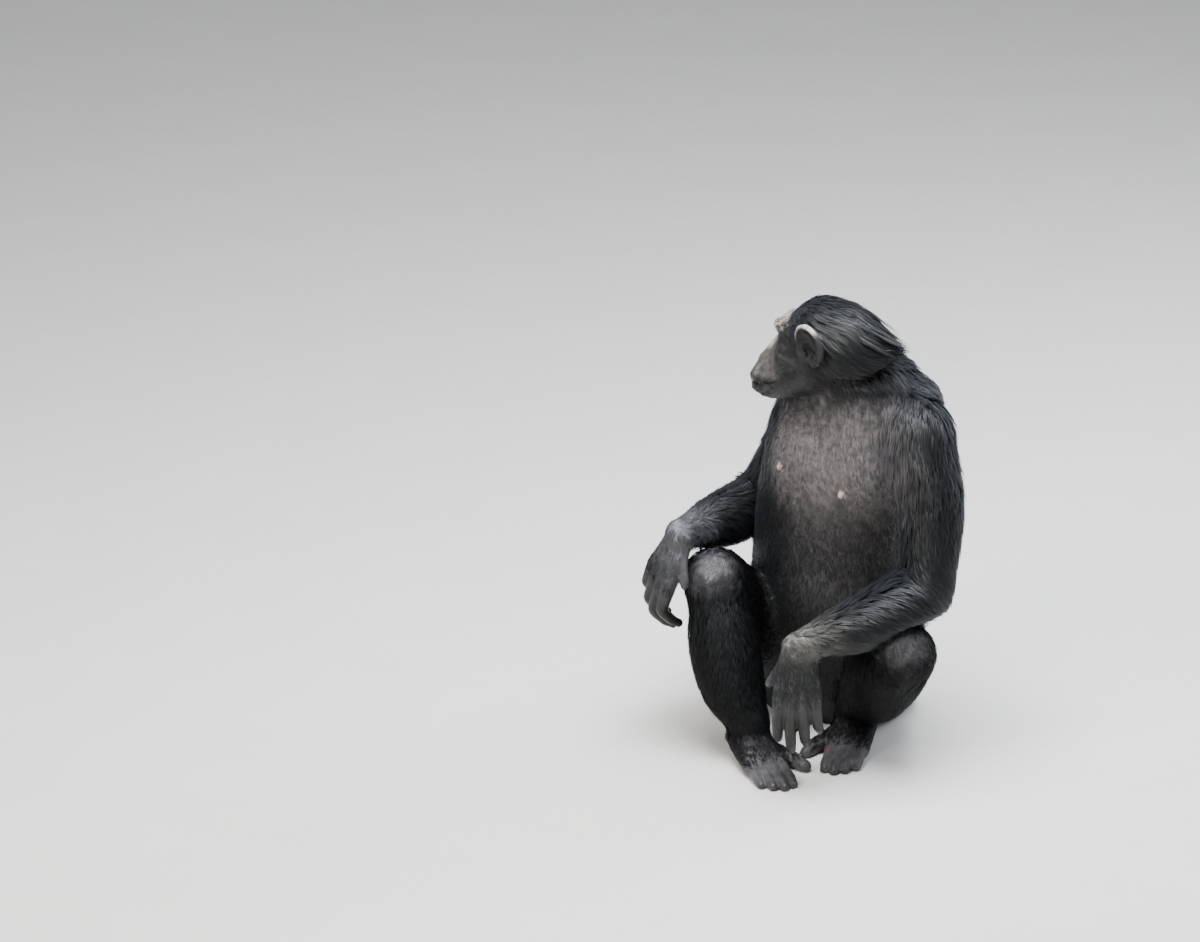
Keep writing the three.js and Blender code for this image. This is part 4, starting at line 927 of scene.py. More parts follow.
THIN = [  # places where the coat is thin: place, radii and how thin
    ((158, -178, 244), (46, 34, 46), 0.3),  # left knee
    ((-176, -8, 316), (46, 34, 46), 0.35),  # right knee
    ((-10, 10, 510), (110, 90, 120), 0.72),  # right of the chest
    ((85, -40, 530), (120, 90, 130), 0.72),  # left of the chest
    ((40, -20, 370), (120, 80, 110), 0.55),  # belly
    ((50, -20, 240), (100, 80, 90), 0.4),  # below the belly
    ((60, -60, 650), (120, 80, 60), 0.55),  # collar bones
    ((14, 160, 0), (70, 60, 40), 0.9),  # seat
]
SLEEK = [  # places where the hair is shorter and lies flatter: place, radii and by how much
    (on_head(20, 0, 62), (80, 80, 46), 0.4),  # crown
    *((on_head(40, y, -30), (56, 46, 56), 0.55) for y in (58, -58)),  # cheeks
    ((70, -60, 664), (140, 100, 56), 0.62),  # collar bones and throat
    ((40, -20, 470), (150, 90, 170), 0.35),  # chest and belly
    ((190, -90, 450), (90, 90, 120), 0.25),  # left upper arm
    ((132, 60, 692), (72, 76, 46), 0.55),  # back of the neck
    ((-168, -22, 338), (60, 56, 52), 0.45),  # right knee
    ((158, -190, 262), (60, 50, 54), 0.45),  # left knee
]


def spared(p, spots):
    """1 away from the spots, and less by its share at each."""
    out = np.ones(len(p))
    for at, radii, share in spots:
        away = np.linalg.norm((p - np.array(at)) / np.array(radii), axis=1)
        out *= 1 - share * (1 - smooth_step(0.5, 1.4, away))
    return out


def coat_share(p):
    share = (1 - face_share(p)) * (1 - palm_share(p)) * spared(p, THIN)
    for side, s in SIDES.items():
        q = to_frame(ear_frame(s), p)
        share *= smooth_step(0.75, 1.05, np.linalg.norm(q / np.array((26, 30, 30)), axis=1))
    return share


# Ears: an ear is a cupped plate with a rim round its back and top, set on the side of the head

def ear_frame(s):
    h = HEAD_FRAME[1]
    out = unit(h[1] * s + h[0] * math.tan(math.radians(EAR["turn"])))
    up = upright(h[2] + EAR["lean"] * h[0], out)
    back = np.cross(up, out) * s
    x, y, z = EAR["root"]
    z -= EAR["lower"] * (s < 0)  # the right ear lies behind the crown in the photograph
    return from_frame(HEAD_FRAME, (x, y * s, z)), np.array((back, out, up))


def ear_field():
    """An ear with its rim, the ridge inside it, the bowl and the two small flaps in front of the bowl."""
    w, length = EAR["width"], EAR["length"]
    plate = ellipsoid((w * 0.55, 0, 0), (w, EAR["thick"], length))
    stations = []
    for turn, radius in ((-80, 4.2), (-40, 3.4), (0, 3.2), (45, 3.6), (90, 4), (130, 3.6), (170, 2.6)):
        c, d = from_degrees(turn)
        stations.append((w * (0.55 + 0.9 * c), 3.5, length * 0.92 * d, radius))
    rim = tube(stations)
    dish = ellipsoid((w * 0.6, EAR["thick"] + 2, 3), (w * 0.74, 7.5, length * 0.76))
    ridge = tube([(w * 0.95, 3, -12, 2), (w * 1.02, 4, 4, 2.2), (w * 0.85, 4, 18, 2), (w * 0.5, 3, 26, 1.4)])
    bowl = ellipsoid((w * 0.3, EAR["thick"] + 1, -3), (w * 0.36, 11, length * 0.36))
    flaps = union(
        2,
        tube([(-1, 5, -2, 3), (1, 6, -10, 3.4)]),
        tube([(w * 0.42, 5, -17, 3), (w * 0.6, 5, -14, 3)]),
    )
    lobe = ellipsoid((w * 0.3, 2, -length * 0.78), (9, 5, 8))

    def field(q):
        out = hollowed(plate(q), dish(q), 3)
        out = joined(2.5, out, rim(q), ridge(q), lobe(q))
        out = hollowed(out, bowl(q), 2.5)
        return blend(out, flaps(q), 2.5)

    return field


def grid_piece(name, f, field, low, high, size, slot, material):
    """A piece from a field in its own frame."""
    points, quads = net(field, np.array(low, float), np.array(high, float), size, LEVELS)
    if np.linalg.det(f[1]) < 0:
        quads = quads[:, ::-1]
    return mesh_object(name, from_frame(f, points), quads, slot, material), points


# Coat: guides grow along the skin, and each tuft follows the guide nearest its root

STEPS = 4  # spans of a guide
TUFTS, QUICK_TUFTS = 258000, 60000
TUFTS_PER_GUIDE = 13
MOST_TUFTS = 39000  # of one piece, which keeps it under 200,000 triangles
HAIR = {"short": 13, "long": 30, "nape": 18, "brow": 9}  # lengths: long and nape come on top of short


def corner_points(mesh):
    """Triangles of a mesh, as corners in the frame of the joints."""
    mesh.calc_loop_triangles()
    corners = np.empty(len(mesh.loop_triangles) * 3, np.int32)
    mesh.loop_triangles.foreach_get("vertices", corners)
    return points_of(mesh)[corners.reshape(-1, 3)]


def scattered(triangles, density, count):
    """Points spread at random over triangles, as close together as the density says, and their normals."""
    a, b, c = triangles[:, 0], triangles[:, 1], triangles[:, 2]
    area = np.linalg.norm(np.cross(b - a, c - a), axis=1) / 2
    weight = np.cumsum(area * density)
    pick = np.searchsorted(weight, random.uniform(0, weight[-1], count))
    pick = np.minimum(pick, len(a) - 1)
    u = np.sqrt(random.uniform(size=count))[:, None]
    v = random.uniform(size=count)[:, None]
    points = a[pick] * (1 - u) + b[pick] * u * (1 - v) + c[pick] * u * v
    kept = points[:, 2] > 4
    normals = unit(np.cross(b - a, c - a)[pick])
    return points[kept], normals[kept]


def hair_length(depth, p):
    """How long the hair is where the coat is that deep: longest on the nape, shortest on hands and feet."""
    long_part = smooth_step(6, 20, depth)
    q = to_frame(HEAD_FRAME, p)
    near = np.linalg.norm(q, axis=1) < 190
    brow = smooth_step(10, 45, q[:, 0]) * near
    nape = smooth_step(10, -30, q[:, 0]) * near
    more = HAIR["long"] + HAIR["nape"] * nape + 5 * wander(p, 60, 21)
    length = HAIR["short"] + 1.1 * np.clip(depth, 0, 12) + more * long_part
    return (length + (HAIR["brow"] - length) * brow) * spared(p, SLEEK)


# The tip to which the hair of the nape runs, how long it gets, how near it starts, its spread and its arch
NAPE = {"tip": (186, -54, 752), "longest": 130, "near": 108, "far": 150, "spread": (10, 10, 8), "arch": 12}


def grown_guides(roots):
    """The line of each guide, from its root along the skin out to the tips of the coat."""
    place = roots
    shares = part_shares(roots)
    crease = 4 * shares["trunk"] * (shares["thigh_left"] + shares["thigh_right"])
    length = hair_length(coat_depth(roots, shares), roots) * (1 - 0.7 * crease)
    lift = random.uniform(0.8, 1.0, len(roots)) * spared(roots, SLEEK) * np.minimum(1, length / 24)
    lines = []
    for i in range(STEPS + 1):
        normal = unit(slope_at(SKIN, place, SKIN(place), 1.5))
        height = lift * np.maximum(coat_depth(place, shares), 1.6) * math.sqrt(i / STEPS)
        lines.append(place + normal * height[:, None])
        way = upright(lie(place, shares), normal)
        place = settled(SKIN, place + way * (length / STEPS)[:, None], 6)
        shares = part_shares(place)
        if i == 0:
            normals = normal
            nape = shares["head"] + 0.5 * shares["neck"]
    lines = np.stack(lines, 1)

    # The hair nearest the nape's tip leaves the skin and runs to that tip
    away = np.array(NAPE["tip"]) + random.normal(0, 1, roots.shape) * NAPE["spread"] - roots
    far = np.linalg.norm(away, axis=1)
    way = unit(away)
    nape *= (1 - smooth_step(NAPE["near"], NAPE["far"], far)) * (1 - smooth_step(0.05, 0.35, way[:, 2]))
    nape *= smooth_step(-0.25, 0.1, (way * normals).sum(1))
    reach = np.minimum(far, NAPE["longest"])
    share = np.linspace(0, 1, STEPS + 1)
    straight = roots[:, None] + (way * reach[:, None])[:, None] * share[:, None]
    straight += normals[:, None] * (NAPE["arch"] * np.sin(np.pi * share))[:, None]
    lines += (straight - lines) * (nape[:, None] * share ** 0.7)[:, :, None]
    return lines, normals, length + (reach - length) * nape


# Charts: where a point lies on an unwrap of the skin, one tile for each part of the body

PARTS = list(SKIN.fields)
TILES = 4  # tiles along each side of the map
PATCH = 0.003


def chart(name, p):
    """A point as an angle round its part's bone and a share along it, each from 0 to 1."""
    if name == "head":
        axis, start, length = HEAD_FRAME[1][0], from_frame(HEAD_FRAME, (-90, 0, 0)), 240
    elif name in ("trunk", "neck"):
        axis, start, length = -DOWN, np.array((60, 90, -10.0)), 780
    else:
        part, side = name.rsplit("_", 1)
        if part == "hand":
            axis, start, length = hand_frame(side)[1][2], hand_frame(side)[0], 240
        elif part == "foot":
            f = foot_frame(side)
            axis, start, length = f[1][1], from_frame(f, (0, -70, 30)), 240
        else:
            joints = JOINT[side]
            axis, start = bone_way(side, part), np.array(joints[LIMBS[part][0]], float)
            length = np.linalg.norm(np.array(joints[LIMBS[part][1]]) - start)
    across = upright((0.31, 0.9, 0.27), axis)
    q = p - start
    turn = np.arctan2(q @ np.cross(axis, across), q @ across) / (2 * math.pi) + 0.5
    return np.stack((turn, np.clip(0.1 + 0.8 * (q @ axis) / length, 0, 1)), 1)


def unwrapped(p):
    d = SKIN.parts(p)
    nearest = np.argmin(np.stack([d[name] for name in PARTS]), axis=0)
    out = np.zeros((len(p), 2))
    for i, name in enumerate(PARTS):
        own = nearest == i
        if own.any():
            tile = np.array((i % TILES, i // TILES))
            out[own] = (tile + 0.02 + 0.96 * chart(name, p[own])) / TILES
    return out, nearest


# Tufts

ROWS = np.array((0, 0.36, 0.72, 1.0))  # places along a tuft where it has points
WIDTHS = np.array((0.8, 1.0, 0.72, 0))
STRIP = np.array([(0, 1, 2), (1, 3, 2), (2, 3, 4), (3, 5, 4), (4, 5, 6)])

# The range or spread of what differs from tuft to tuft, and how deep every root is sunk in the skin
TUFT = {
    "reach": (0.62, 1.0),
    "gather": (0.1, 0.4),
    "lift": (0.5, 1.0),
    "roll": 0.18,
    "width": (0.55, 1.0),
    "sunk": 1.2,
}
BRISTLE = {"count": 5000, "length": 5, "rise": 24, "width": 0.32, "shade": 1.6}


def along_guides(lines, chosen, share):
    """Points on the chosen guides, at a share of their length."""
    at = np.clip(share, 0, 1) * STEPS
    low = np.minimum(at.astype(int), STEPS - 1)
    t = (at - low)[:, None]
    return lines[chosen, low] * (1 - t) + lines[chosen, low + 1] * t


def grown_tufts(roots, lines, normals, lengths, chosen, fine):
    """Every tuft's points: a flat, tapered strip that bends with the coat and gathers with others."""
    n = len(roots)
    reach = random.uniform(*TUFT["reach"], n)
    strand = smooth_step(48, 72, lengths[chosen])
    gather = random.uniform(*TUFT["gather"], n) + 0.3 * strand
    bend = random.normal(0, 1, n) * np.minimum(lengths[chosen] * 0.03, 1.6)
    lift = random.uniform(*TUFT["lift"], n)
    roll = random.normal(0, TUFT["roll"], n)
    width = random.uniform(*TUFT["width"], n) * np.clip(0.5 + lengths[chosen] / 70, 0.5, 1.2) * fine
    base = lines[chosen, 0]
    offset = roots - base
    normal = normals[chosen]
    centres = []
    for share in ROWS:
        on = along_guides(lines, chosen, share * reach)
        out = ((on - base) * normal).sum(1)
        flat = on - normal * (out * (1 - lift) * share)[:, None]
        centres.append(flat + offset * (1 - gather * share ** 1.4)[:, None])
    centres = np.stack(centres, 1)
    run = unit(centres[:, 3] - centres[:, 0])
    side = unit(np.cross(run, normal))
    up = np.cross(side, run)
    swing = np.sin(np.pi * ROWS * 0.9)[None, :, None] * bend[:, None, None] * side[:, None, :]
    centres = centres + swing
    centres[:, 0] -= normal * TUFT["sunk"]
    flat_side = side * np.cos(roll)[:, None] + up * np.sin(roll)[:, None]
    points = np.empty((n, 7, 3))
    for row in range(3):
        half = flat_side * (width * WIDTHS[row])[:, None]
        points[:, 2 * row] = centres[:, row] - half
        points[:, 2 * row + 1] = centres[:, row] + half
    points[:, 6] = centres[:, 3]
    return points


ROW_OF = np.array((0, 0, 1, 1, 2, 2, 3))
SIDE_OF = np.array((-1, 1, -1, 1, -1, 1, 0))


def coat_piece(name, points, roots, places, shade, material):
    """One mesh of many tufts, with their colours and their patches on the unwrap."""
    n = len(points)
    faces = (STRIP[None] + 7 * np.arange(n)[:, None, None]).reshape(-1, 3)
    piece = mesh_object(name, points.reshape(-1, 3), faces, "coat", material)
    colours = markings_and_light(roots, ON_HAIR)
    shade = shade * random.uniform(0.85, 1.15, n)
    tip = 0.8 + 0.4 * ROWS[ROW_OF]
    rgb = colours[:, None, :] * (shade[:, None] * tip[None])[:, :, None]
    paint(piece, "tint", rgb.reshape(-1, 3))
    patch = np.stack((SIDE_OF, 2 * ROWS[ROW_OF] - 1), 1) * PATCH / 2
    uv = (places[:, None] + patch[None]).reshape(-1, 2)
    layer = piece.data.uv_layers.new(name="OFBake")
    layer.data.foreach_set("uv", uv[faces.ravel()].astype(np.float32).ravel())


def nearest_of(places, points):
    """For each point, the number of the place nearest to it."""
    tree = KDTree(len(places))
    for i, place in enumerate(places):
        tree.insert(place, i)
    tree.balance()
    return np.array([tree.find(point)[1] for point in points])


def nearest_guides(guide_roots, guide_normals, roots, normals):
    """The guide nearest each root, on its own side of any fold."""
    apart = 8.0
    return nearest_of(guide_roots + guide_normals * apart, roots + normals * apart)


COAT_PIECES = {
    "coat_head": ["head"],
    "coat_neck": ["neck"],
    "coat_trunk": ["trunk"],
    "coat_arm_left": ["upper_arm_left", "forearm_left", "hand_left"],
    "coat_arm_right": ["upper_arm_right", "forearm_right", "hand_right"],
    "coat_leg_left": ["thigh_left", "lower_leg_left", "foot_left"],
    "coat_leg_right": ["thigh_right", "lower_leg_right", "foot_right"],
}


def coat_pieces(skin, hair, leg_hair):
    triangles = corner_points(skin.data)
    density = coat_share(triangles.mean(1))
    count = TUFTS
    guide_roots, _ = scattered(triangles, density, count // TUFTS_PER_GUIDE)
    lines, guide_normals, lengths = grown_guides(guide_roots)
    shade = np.clip(1 + 0.15 * wander(guide_roots, 55, 31) + random.normal(0, 0.16, len(lines)), 0.5, 1.8)
    roots, normals = scattered(triangles, density, count)
    chosen = nearest_guides(guide_roots, guide_normals, roots, normals)
    fine = 0.45 + 0.55 * coat_share(roots)
    points = grown_tufts(roots, lines, guide_normals, lengths, chosen, fine)
    points[:, :, 2] = np.maximum(points[:, :, 2], 0.4)
    places, nearest = unwrapped(roots)
    for name, parts in COAT_PIECES.items():
        own = np.flatnonzero(np.isin(nearest, [PARTS.index(part) for part in parts]))
        own = own[np.argsort(roots[own, 2])]
        bundles = np.array_split(own, max(1, math.ceil(len(own) / MOST_TUFTS)))
        for i, bundle in enumerate(bundles):
            label = name if len(bundles) == 1 else f"{name}_{i + 1}"
            coat_piece(
                label, points[bundle], roots[bundle], places[bundle], shade[chosen[bundle]],
                leg_hair if "leg" in name else hair)


def bristle_piece(skin, material):
    """Short single hairs of the face, each on its own root."""
    triangles = corner_points(skin.data)
    roots, normals = scattered(triangles, face_share(triangles.mean(1)) ** 2, BRISTLE["count"])
    way = upright(lie(roots, part_shares(roots)) + random.normal(0, 0.3, roots.shape), normals)
    long = BRISTLE["length"] * random.uniform(0.6, 1.2, len(roots))
    ahead, out = from_degrees(BRISTLE["rise"])
    run = way * ahead + normals * out
    steps = np.linspace(0, 1, STEPS + 1)
    lines = roots[:, None] + run[:, None] * (long[:, None] * steps)[:, :, None]
    lines -= normals[:, None] * (0.12 * long[:, None] * steps ** 2)[:, :, None]
    chosen = np.arange(len(roots))
    points = grown_tufts(roots, lines, normals, long, chosen, BRISTLE["width"])
    coat_piece("face_down", points, roots, unwrapped(roots)[0], BRISTLE["shade"], material)


# Eyes and nails

# Colours of an eye by the angle from its line of sight: pupil, iris, its dark edge and the brown white
EYE_BANDS = [(0, "#040303"), (11, "#040303"), (13, "#3a1f0e"), (24, "#54301a"), (31, "#2a170c"),
             (36, "#1d130e"), (60, "#2a1d17"), (180, "#2a1d17")]


def faces_out(piece, merge=0):
    """Turns every face of a closed mesh outwards, after joining points that are closer than merge."""
    bm = bmesh.new()
    bm.from_mesh(piece.data)
    if merge:
        bmesh.ops.remove_doubles(bm, verts=bm.verts, dist=merge)
    bmesh.ops.recalc_face_normals(bm, faces=bm.faces)
    bm.to_mesh(piece.data)
    bm.free()


def eye_piece(side, s, material):
    """An eyeball with its cornea: rings round the line of sight, coloured from the pupil out."""
    rings, across = EYE["rings"], EYE["across"]
    sight = unit(np.array((1, 0.12 * s - 0.06, -0.05)))
    u = upright((0, 1, 0), sight)
    v = np.cross(sight, u)
    x, y, z = EYE["at"]
    points, colours = [], []
    angles = [angle for angle, _ in EYE_BANDS]
    tints = np.array([linear(tint) for _, tint in EYE_BANDS])
    for i in range(rings + 1):
        polar = 180 * (i / rings) ** 1.4
        bulge = 0.9 * (1 - smooth_step(0, 34, polar))
        radius = EYE["radius"] - 0.2 + bulge
        c, d = from_degrees(polar)
        for k in range(across):
            e, f = from_degrees(360 * k / across)
            points.append(radius * (sight * c + (u * e + v * f) * d))
            tint = np.array([np.interp(polar, angles, tints[:, channel]) for channel in range(3)])
            streak = 1 + 0.3 * math.sin(k * 2.6 + 0.6 * math.sin(k)) * (14 < polar < 30)
            colours.append(tint * streak)
    faces = []
    for i in range(rings):
        for k in range(across):
            a, b = i * across + k, i * across + (k + 1) % across
            faces.append((a, a + across, b + across, b))
    placed = from_frame(HEAD_FRAME, np.array(points) + np.array((x, y * s, z)))
    piece = mesh_object("eyeball_" + side, placed, faces, "eye", material)
    faces_out(piece, 1e-7)
    paint(piece, "tint", np.array(colours)[nearest_of(placed, points_of(piece.data))])
    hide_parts("eye_" + side)


NAIL = {"turn": 52, "rows": 8, "columns": 9, "faces": (0.5, -0.9)}


def nail_points(tip, ahead, back, radius, length):
    """The outer and inner face of a nail over a fingertip, each as a grid of points."""
    side = np.cross(ahead, back)
    grids = []
    for thick in NAIL["faces"]:
        grid = []
        for v in np.linspace(0, 1, NAIL["rows"]):
            for turn in np.linspace(-NAIL["turn"], NAIL["turn"], NAIL["columns"]):
                c, d = from_degrees(turn)
                shrink = (radius + thick) * (1 - 0.10 * v ** 3)
                along = (v - 0.62) * length - 1.4 * (turn / NAIL["turn"]) ** 2 * (0.4 + v)
                grid.append(tip + ahead * along + (back * c + side * d * 0.92) * shrink)
        grids.append(grid)
    return grids


def nail_piece(name, f, tips, material):
    points, faces = [], []
    rows, columns = NAIL["rows"], NAIL["columns"]
    for tip, ahead, back, radius, length in tips:
        start = len(points)
        outer, inner = nail_points(np.array(tip, float), ahead, back, radius, length)
        points += outer + inner
        lower = start + rows * columns
        for i in range(rows - 1):
            for k in range(columns - 1):
                a = i * columns + k
                ring = (a, a + 1, a + 1 + columns, a + columns)
                faces.append([start + r for r in ring])
                faces.append([lower + r for r in reversed(ring)])
        rim = list(range(columns)) + [i * columns + columns - 1 for i in range(1, rows)]
        rim += [(rows - 1) * columns + k for k in range(columns - 2, -1, -1)]
        rim += [i * columns for i in range(rows - 2, 0, -1)]
        for a, b in zip(rim, rim[1:] + rim[:1]):
            faces.append((start + b, start + a, lower + a, lower + b))
    faces_out(mesh_object(name, from_frame(f, np.array(points)), faces, "bare_skin", material))


def finger_tips(side):
    tips = []
    for rows, ahead, back in finger_lines(side):
        tips.append((rows[-1][:3], ahead, back, rows[-1][3], 12))
    rows, ahead, back = thumb_line()
    tips.append((rows[-1][:3], ahead, back, rows[-1][3], 10))
    return tips


def toe_tips():
    tips = []
    for rows in toe_lines():
        end, before = np.array(rows[-1]), np.array(rows[-2])
        ahead = unit(end[:3] - before[:3])
        tips.append((end[:3], ahead, upright((0, 0, 1), ahead), end[3], 10 if len(rows) > 4 else 13))
    return tips


# Materials

def add_node(tree, kind, given):
    """One node: a socket given for an input is linked, and any other value is set."""
    made = tree.nodes.new(kind)
    for key, value in given.items():
        if isinstance(key, str) and key in made.bl_rna.properties:
            setattr(made, key, value)
        elif isinstance(value, bpy.types.NodeSocket):
            tree.links.new(value, made.inputs[key])
        else:
            made.inputs[key].default_value = value
    return made


def per_metre(size_mm):
    """The scale of a pattern whose cells or waves are that many millimetres wide."""
    return 1000 / size_mm


def new_material(name):
    material = bpy.data.materials.new(name)
    material.use_nodes = True
    tree = material.node_tree
    tree.nodes.clear()
    return material, tree, add_node(tree, "ShaderNodeTexCoord", {}).outputs["Object"]


def finish_material(tree, shader):
    add_node(tree, "ShaderNodeOutputMaterial", {"Surface": shader.outputs["BSDF"]})


def tinted(tree, place, size, least, most):
    """The painted colour, a little lighter and darker from place to place."""
    paint_node = add_node(tree, "ShaderNodeVertexColor", {"layer_name": "tint"})
    noise = add_node(tree, "ShaderNodeTexNoise", {"Vector": place, "Scale": per_metre(size), "Detail": 4.0})
    level = add_node(tree, "ShaderNodeMapRange", {
        "Value": noise.outputs["Fac"], "From Min": 0.3, "From Max": 0.7, "To Min": least, "To Max": most})
    return add_node(tree, "ShaderNodeVectorMath", {
        "operation": "SCALE", 0: paint_node.outputs["Color"], "Scale": level.outputs["Result"]}).outputs[0]


def mottled(tree, place, size, first, second):
    """Two colours that run into each other in soft patches."""
    noise = add_node(tree, "ShaderNodeTexNoise", {"Vector": place, "Scale": per_metre(size), "Detail": 3.0})
    return add_node(tree, "ShaderNodeMix", {
        "data_type": "RGBA",
        "Factor": noise.outputs["Fac"],
        6: (*linear(first), 1),
        7: (*linear(second), 1),
    }).outputs[2]


def bare_hide(name, crease, speckle, gloss):
    """Bare hide of an ape: thick, dark skin that creases part into small pads, duller in the creases."""
    material, tree, place = new_material(name)
    colour = tinted(tree, place, speckle, 0.62, 1.45)
    bent = add_node(tree, "ShaderNodeTexNoise", {"Vector": place, "Scale": per_metre(9), "Detail": 2.0})
    shifted = add_node(tree, "ShaderNodeVectorMath", {
        "operation": "MULTIPLY_ADD", 0: bent.outputs["Color"], 1: (0.004, 0.004, 0.004), 2: place})
    pads = add_node(tree, "ShaderNodeTexVoronoi", {
        "feature": "DISTANCE_TO_EDGE", "Vector": shifted.outputs[0], "Scale": per_metre(crease)})
    groove = add_node(tree, "ShaderNodeMapRange", {
        "Value": pads.outputs["Distance"], "From Min": 0.0, "From Max": 0.16, "To Min": 0.0, "To Max": 1.0})
    folds = add_node(tree, "ShaderNodeTexNoise", {"Vector": place, "Scale": per_metre(5), "Detail": 5.0})
    height = add_node(tree, "ShaderNodeMath", {
        "operation": "MULTIPLY_ADD", 0: groove.outputs["Result"], 1: 0.6, 2: folds.outputs["Fac"]})
    bump = add_node(tree, "ShaderNodeBump", {
        "Strength": 0.9, "Distance": 0.001, "Height": height.outputs["Value"]})
    dull = add_node(tree, "ShaderNodeMapRange", {
        "Value": groove.outputs["Result"], "To Min": gloss + 0.22, "To Max": gloss})
    shader = add_node(tree, "ShaderNodeBsdfPrincipled", {
        "Base Color": colour,
        "Roughness": dull.outputs["Result"],
        "IOR": 1.42,
        "Subsurface Weight": 0.04,
        "Subsurface Radius": (0.004, 0.002, 0.001),
        "Normal": bump.outputs["Normal"],
    })
    finish_material(tree, shader)
    return material


def coarse_hair(name, roughness, sheen, level):
    """Coarse black hair: each strand has a streak of light along it, and the mass a cold grey bloom."""
    material, tree, place = new_material(name)
    colour = tinted(tree, place, 22, 0.7, 1.35)
    shader = add_node(tree, "ShaderNodeBsdfPrincipled", {
        "Base Color": colour,
        "Roughness": roughness,
        "IOR": 1.55,
        "Specular IOR Level": level,
        "Sheen Weight": sheen,
        "Sheen Roughness": 0.45,
        "Sheen Tint": (*linear("#aeb9cc"), 1),
    })
    finish_material(tree, shader)
    return material


def wet_eye(name):
    """An eyeball under tears: dark brown and smooth as glass."""
    material, tree, place = new_material(name)
    shader = add_node(tree, "ShaderNodeBsdfPrincipled", {
        "Base Color": tinted(tree, place, 1.2, 0.85, 1.15),
        "Roughness": 0.12,
        "IOR": 1.376,
        "Coat Weight": 1.0,
        "Coat Roughness": 0.03,
    })
    finish_material(tree, shader)
    return material


def horn_nail(name):
    """Keratin of a nail: grey brown, half glossy and finely uneven."""
    material, tree, place = new_material(name)
    colour = mottled(tree, place, 3, "#1c1918", "#3d3734")
    ridge = add_node(tree, "ShaderNodeTexNoise", {"Vector": place, "Scale": per_metre(0.8), "Detail": 1.0})
    bump = add_node(tree, "ShaderNodeBump", {
        "Strength": 0.3, "Distance": 0.0002, "Height": ridge.outputs["Fac"]})
    shader = add_node(tree, "ShaderNodeBsdfPrincipled", {
        "Base Color": colour, "Roughness": 0.38, "IOR": 1.54, "Normal": bump.outputs["Normal"]})
    finish_material(tree, shader)
    return material


def pale_floor(name):
    """Matt painted board: an even, pale studio floor with a faint mottle."""
    material, tree, place = new_material(name)
    colour = mottled(tree, place, 180, "#d6d4cf", "#dedcd8")
    shader = add_node(tree, "ShaderNodeBsdfPrincipled", {"Base Color": colour, "Roughness": 0.8})
    finish_material(tree, shader)
    return material


# Camera and lights

PHOTO = {"width": 1200, "height": 942, "focal": 5175}  # all in pixels
TARGET = {"at": (0, 0, 400), "pixel": (812, 528.7)}  # a point of the animal and where it shows
CAMERA = {"elevation": 22, "distance": 9000, "sensor": 36, "clip": 60}

# Place and size in metres, power in watts and colour, of the lights over, in front and behind
LIGHTS = {
    "top_light": ((0.1, -0.3, 3.2), (2.2, 2.2), 300, "#f6f9ff"),
    "key_light": ((-2.2, -2.4, 2.8), (1.6, 1.6), 120, "#fffaf2"),
    "rim_light": ((2.6, 1.4, 2.2), (1.2, 1.8), 90, "#eef3ff"),
}
AIM = (0, 0, 0.4)  # where the lights point
BACKDROP = {"colour": "#dfe3e8", "strength": 0.5}
FLOOR = {"half": 30, "cells": 8}


def place_camera():
    """The camera is aimed at the target and then turned until the target shows at its pixel."""
    c, s = from_degrees(CAMERA["elevation"])
    target = (np.array(TARGET["at"]) - ORIGIN) * MM
    eye = target + CAMERA["distance"] * MM * np.array((0, -c, s))
    data = bpy.data.cameras.new("camera")
    data.sensor_width = CAMERA["sensor"]
    data.lens = CAMERA["sensor"] * PHOTO["focal"] / PHOTO["width"]
    data.clip_end = CAMERA["clip"]
    camera = bpy.data.objects.new("camera", data)
    bpy.context.scene.collection.objects.link(camera)
    look = Matrix(((1, 0, 0), (0, s, -c), (0, c, s)))
    ahead = Vector((
        (TARGET["pixel"][0] - PHOTO["width"] / 2) / PHOTO["focal"],
        (PHOTO["height"] / 2 - TARGET["pixel"][1]) / PHOTO["focal"],
        -1,
    ))
    turn = ahead.rotation_difference(Vector((0, 0, -1))).to_matrix()
    camera.matrix_world = Matrix.Translation(eye) @ (look @ turn).to_4x4()
    bpy.context.scene.camera = camera


def soft_box(name, place, size, power, colour):
    data = bpy.data.lights.new(name, "AREA")
    data.shape = "RECTANGLE"
    data.size, data.size_y = size
    data.energy = power
    data.color = linear(colour)
    light = bpy.data.objects.new(name, data)
    light.location = place
    light.rotation_euler = (Vector(AIM) - Vector(place)).to_track_quat("-Z", "Y").to_euler()
    bpy.context.scene.collection.objects.link(light)


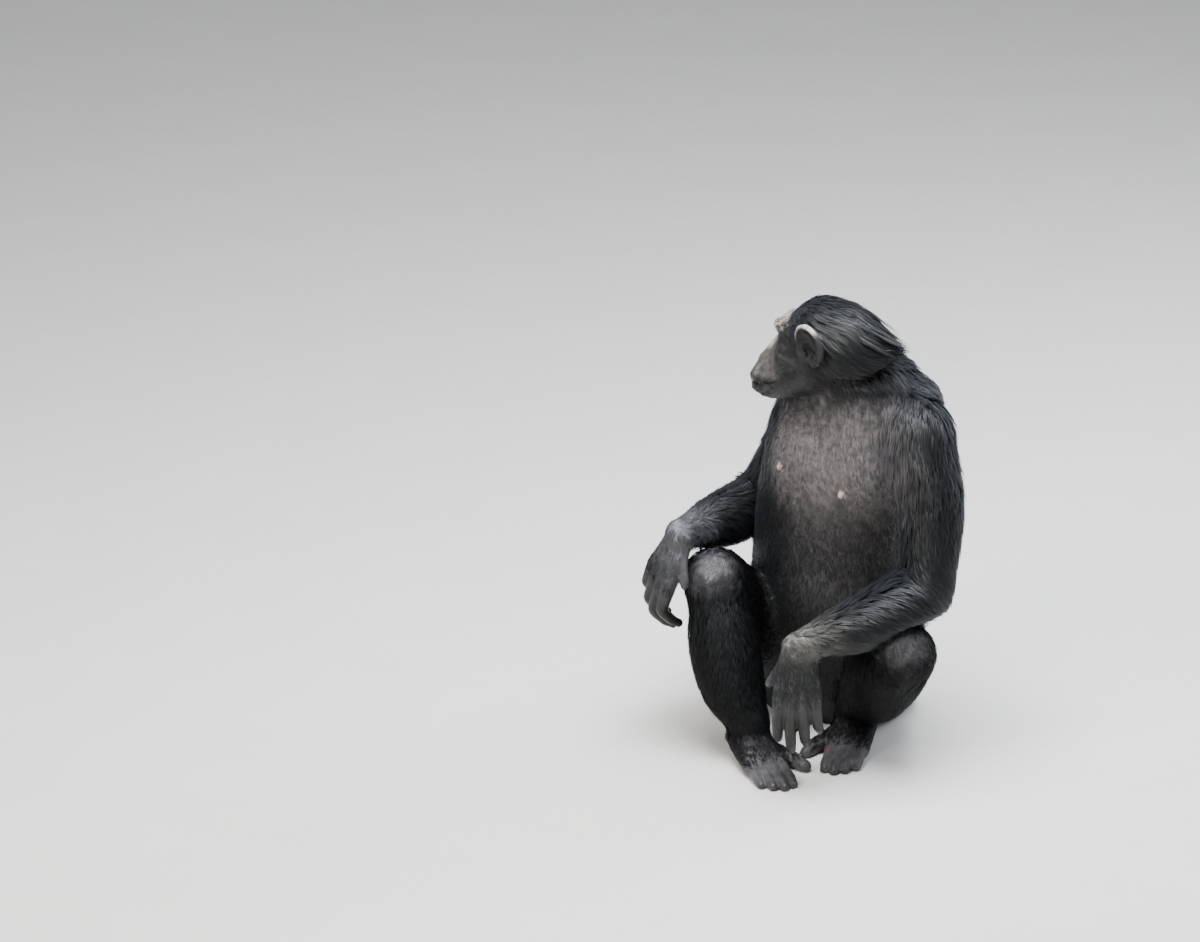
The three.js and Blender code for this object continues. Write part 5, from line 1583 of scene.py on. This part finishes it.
def studio():
    world = bpy.data.worlds.new("studio")
    bpy.context.scene.world = world
    world.use_nodes = True
    backdrop = world.node_tree.nodes["Background"]
    backdrop.inputs["Color"].default_value = (*linear(BACKDROP["colour"]), 1)
    backdrop.inputs["Strength"].default_value = BACKDROP["strength"]
    for name, given in LIGHTS.items():
        soft_box(name, *given)
    mesh = bpy.data.meshes.new("floor")
    bm = bmesh.new()
    bmesh.ops.create_grid(bm, x_segments=FLOOR["cells"], y_segments=FLOOR["cells"], size=FLOOR["half"])
    bm.to_mesh(mesh)
    bm.free()
    floor = bpy.data.objects.new("floor", mesh)
    mesh.materials.append(pale_floor("matt_painted_board"))
    bpy.context.scene.collection.objects.link(floor)


# The animal

# The back is the ear's own colour; the pale rim is a painted highlight and the dark cup painted shade.
EAR_SKIN_AND_LIGHT = {"back": "#1b1817", "rim": "#c9bfba", "cup": "#050404"}
RIM_HIGHLIGHT = {"left": 0.9, "right": 0.1}  # how much of the painted highlight on its top the rim of each ear takes


def ear_piece(side, s, material):
    piece, points = grid_piece(
        "ear_shell_" + side, ear_frame(s), ear_field(), *EAR_BOX, CELL["ear"], "ear", material)
    edge = np.linalg.norm((points - (EAR["width"] * 0.5, 0, 0)) / (26, 60, EAR["length"] * 0.92), axis=1)
    rim = smooth_step(0.85, 1.1, edge)
    # Painted highlight along the top of the rim
    lit_top = smooth_step(4, 26, points[:, 2]) * smooth_step(-16, 8, points[:, 0])
    # Painted shade in the bowl of the ear
    cup = (points[:, 1] > 0) * (1 - rim)
    colours = np.tile(linear(EAR_SKIN_AND_LIGHT["back"]), (len(points), 1))
    colours += (linear(EAR_SKIN_AND_LIGHT["rim"]) - colours) * (RIM_HIGHLIGHT[side] * rim * lit_top)[:, None]
    colours += (linear(EAR_SKIN_AND_LIGHT["cup"]) - colours) * (0.9 * cup)[:, None]
    paint(piece, "tint", colours)
    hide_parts("ear_" + side)


def build():
    hide = bare_hide("creased_bare_hide", 3.2, 12, 0.36)
    ear_hide = bare_hide("thin_ear_hide", 1.6, 8, 0.45)
    hair = coarse_hair("coarse_black_hair", 0.5, 0.14, 0.32)
    leg_hair = coarse_hair("short_leg_hair", 0.62, 0.0, 0.15)
    face_hair = coarse_hair("short_face_hair", 0.5, 0.1, 0.3)
    eye = wet_eye("wet_eyeball")
    nail = horn_nail("horn_nail")

    skin = skin_piece()
    skin.data.materials.append(hide)
    points = points_of(skin.data)
    paint(skin, "tint", markings_and_light(points, ON_SKIN))
    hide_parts(*[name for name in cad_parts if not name.startswith(("eye_", "ear_"))])
    for side, s in SIDES.items():
        ear_piece(side, s, ear_hide)
        eye_piece(side, s, eye)
        nail_piece("finger_nails_" + side, hand_frame(side), finger_tips(side), nail)
        nail_piece("toe_nails_" + side, foot_frame(side), toe_tips(), nail)
    coat_pieces(skin, hair, leg_hair)
    bristle_piece(skin, face_hair)


build()
place_camera()
studio()
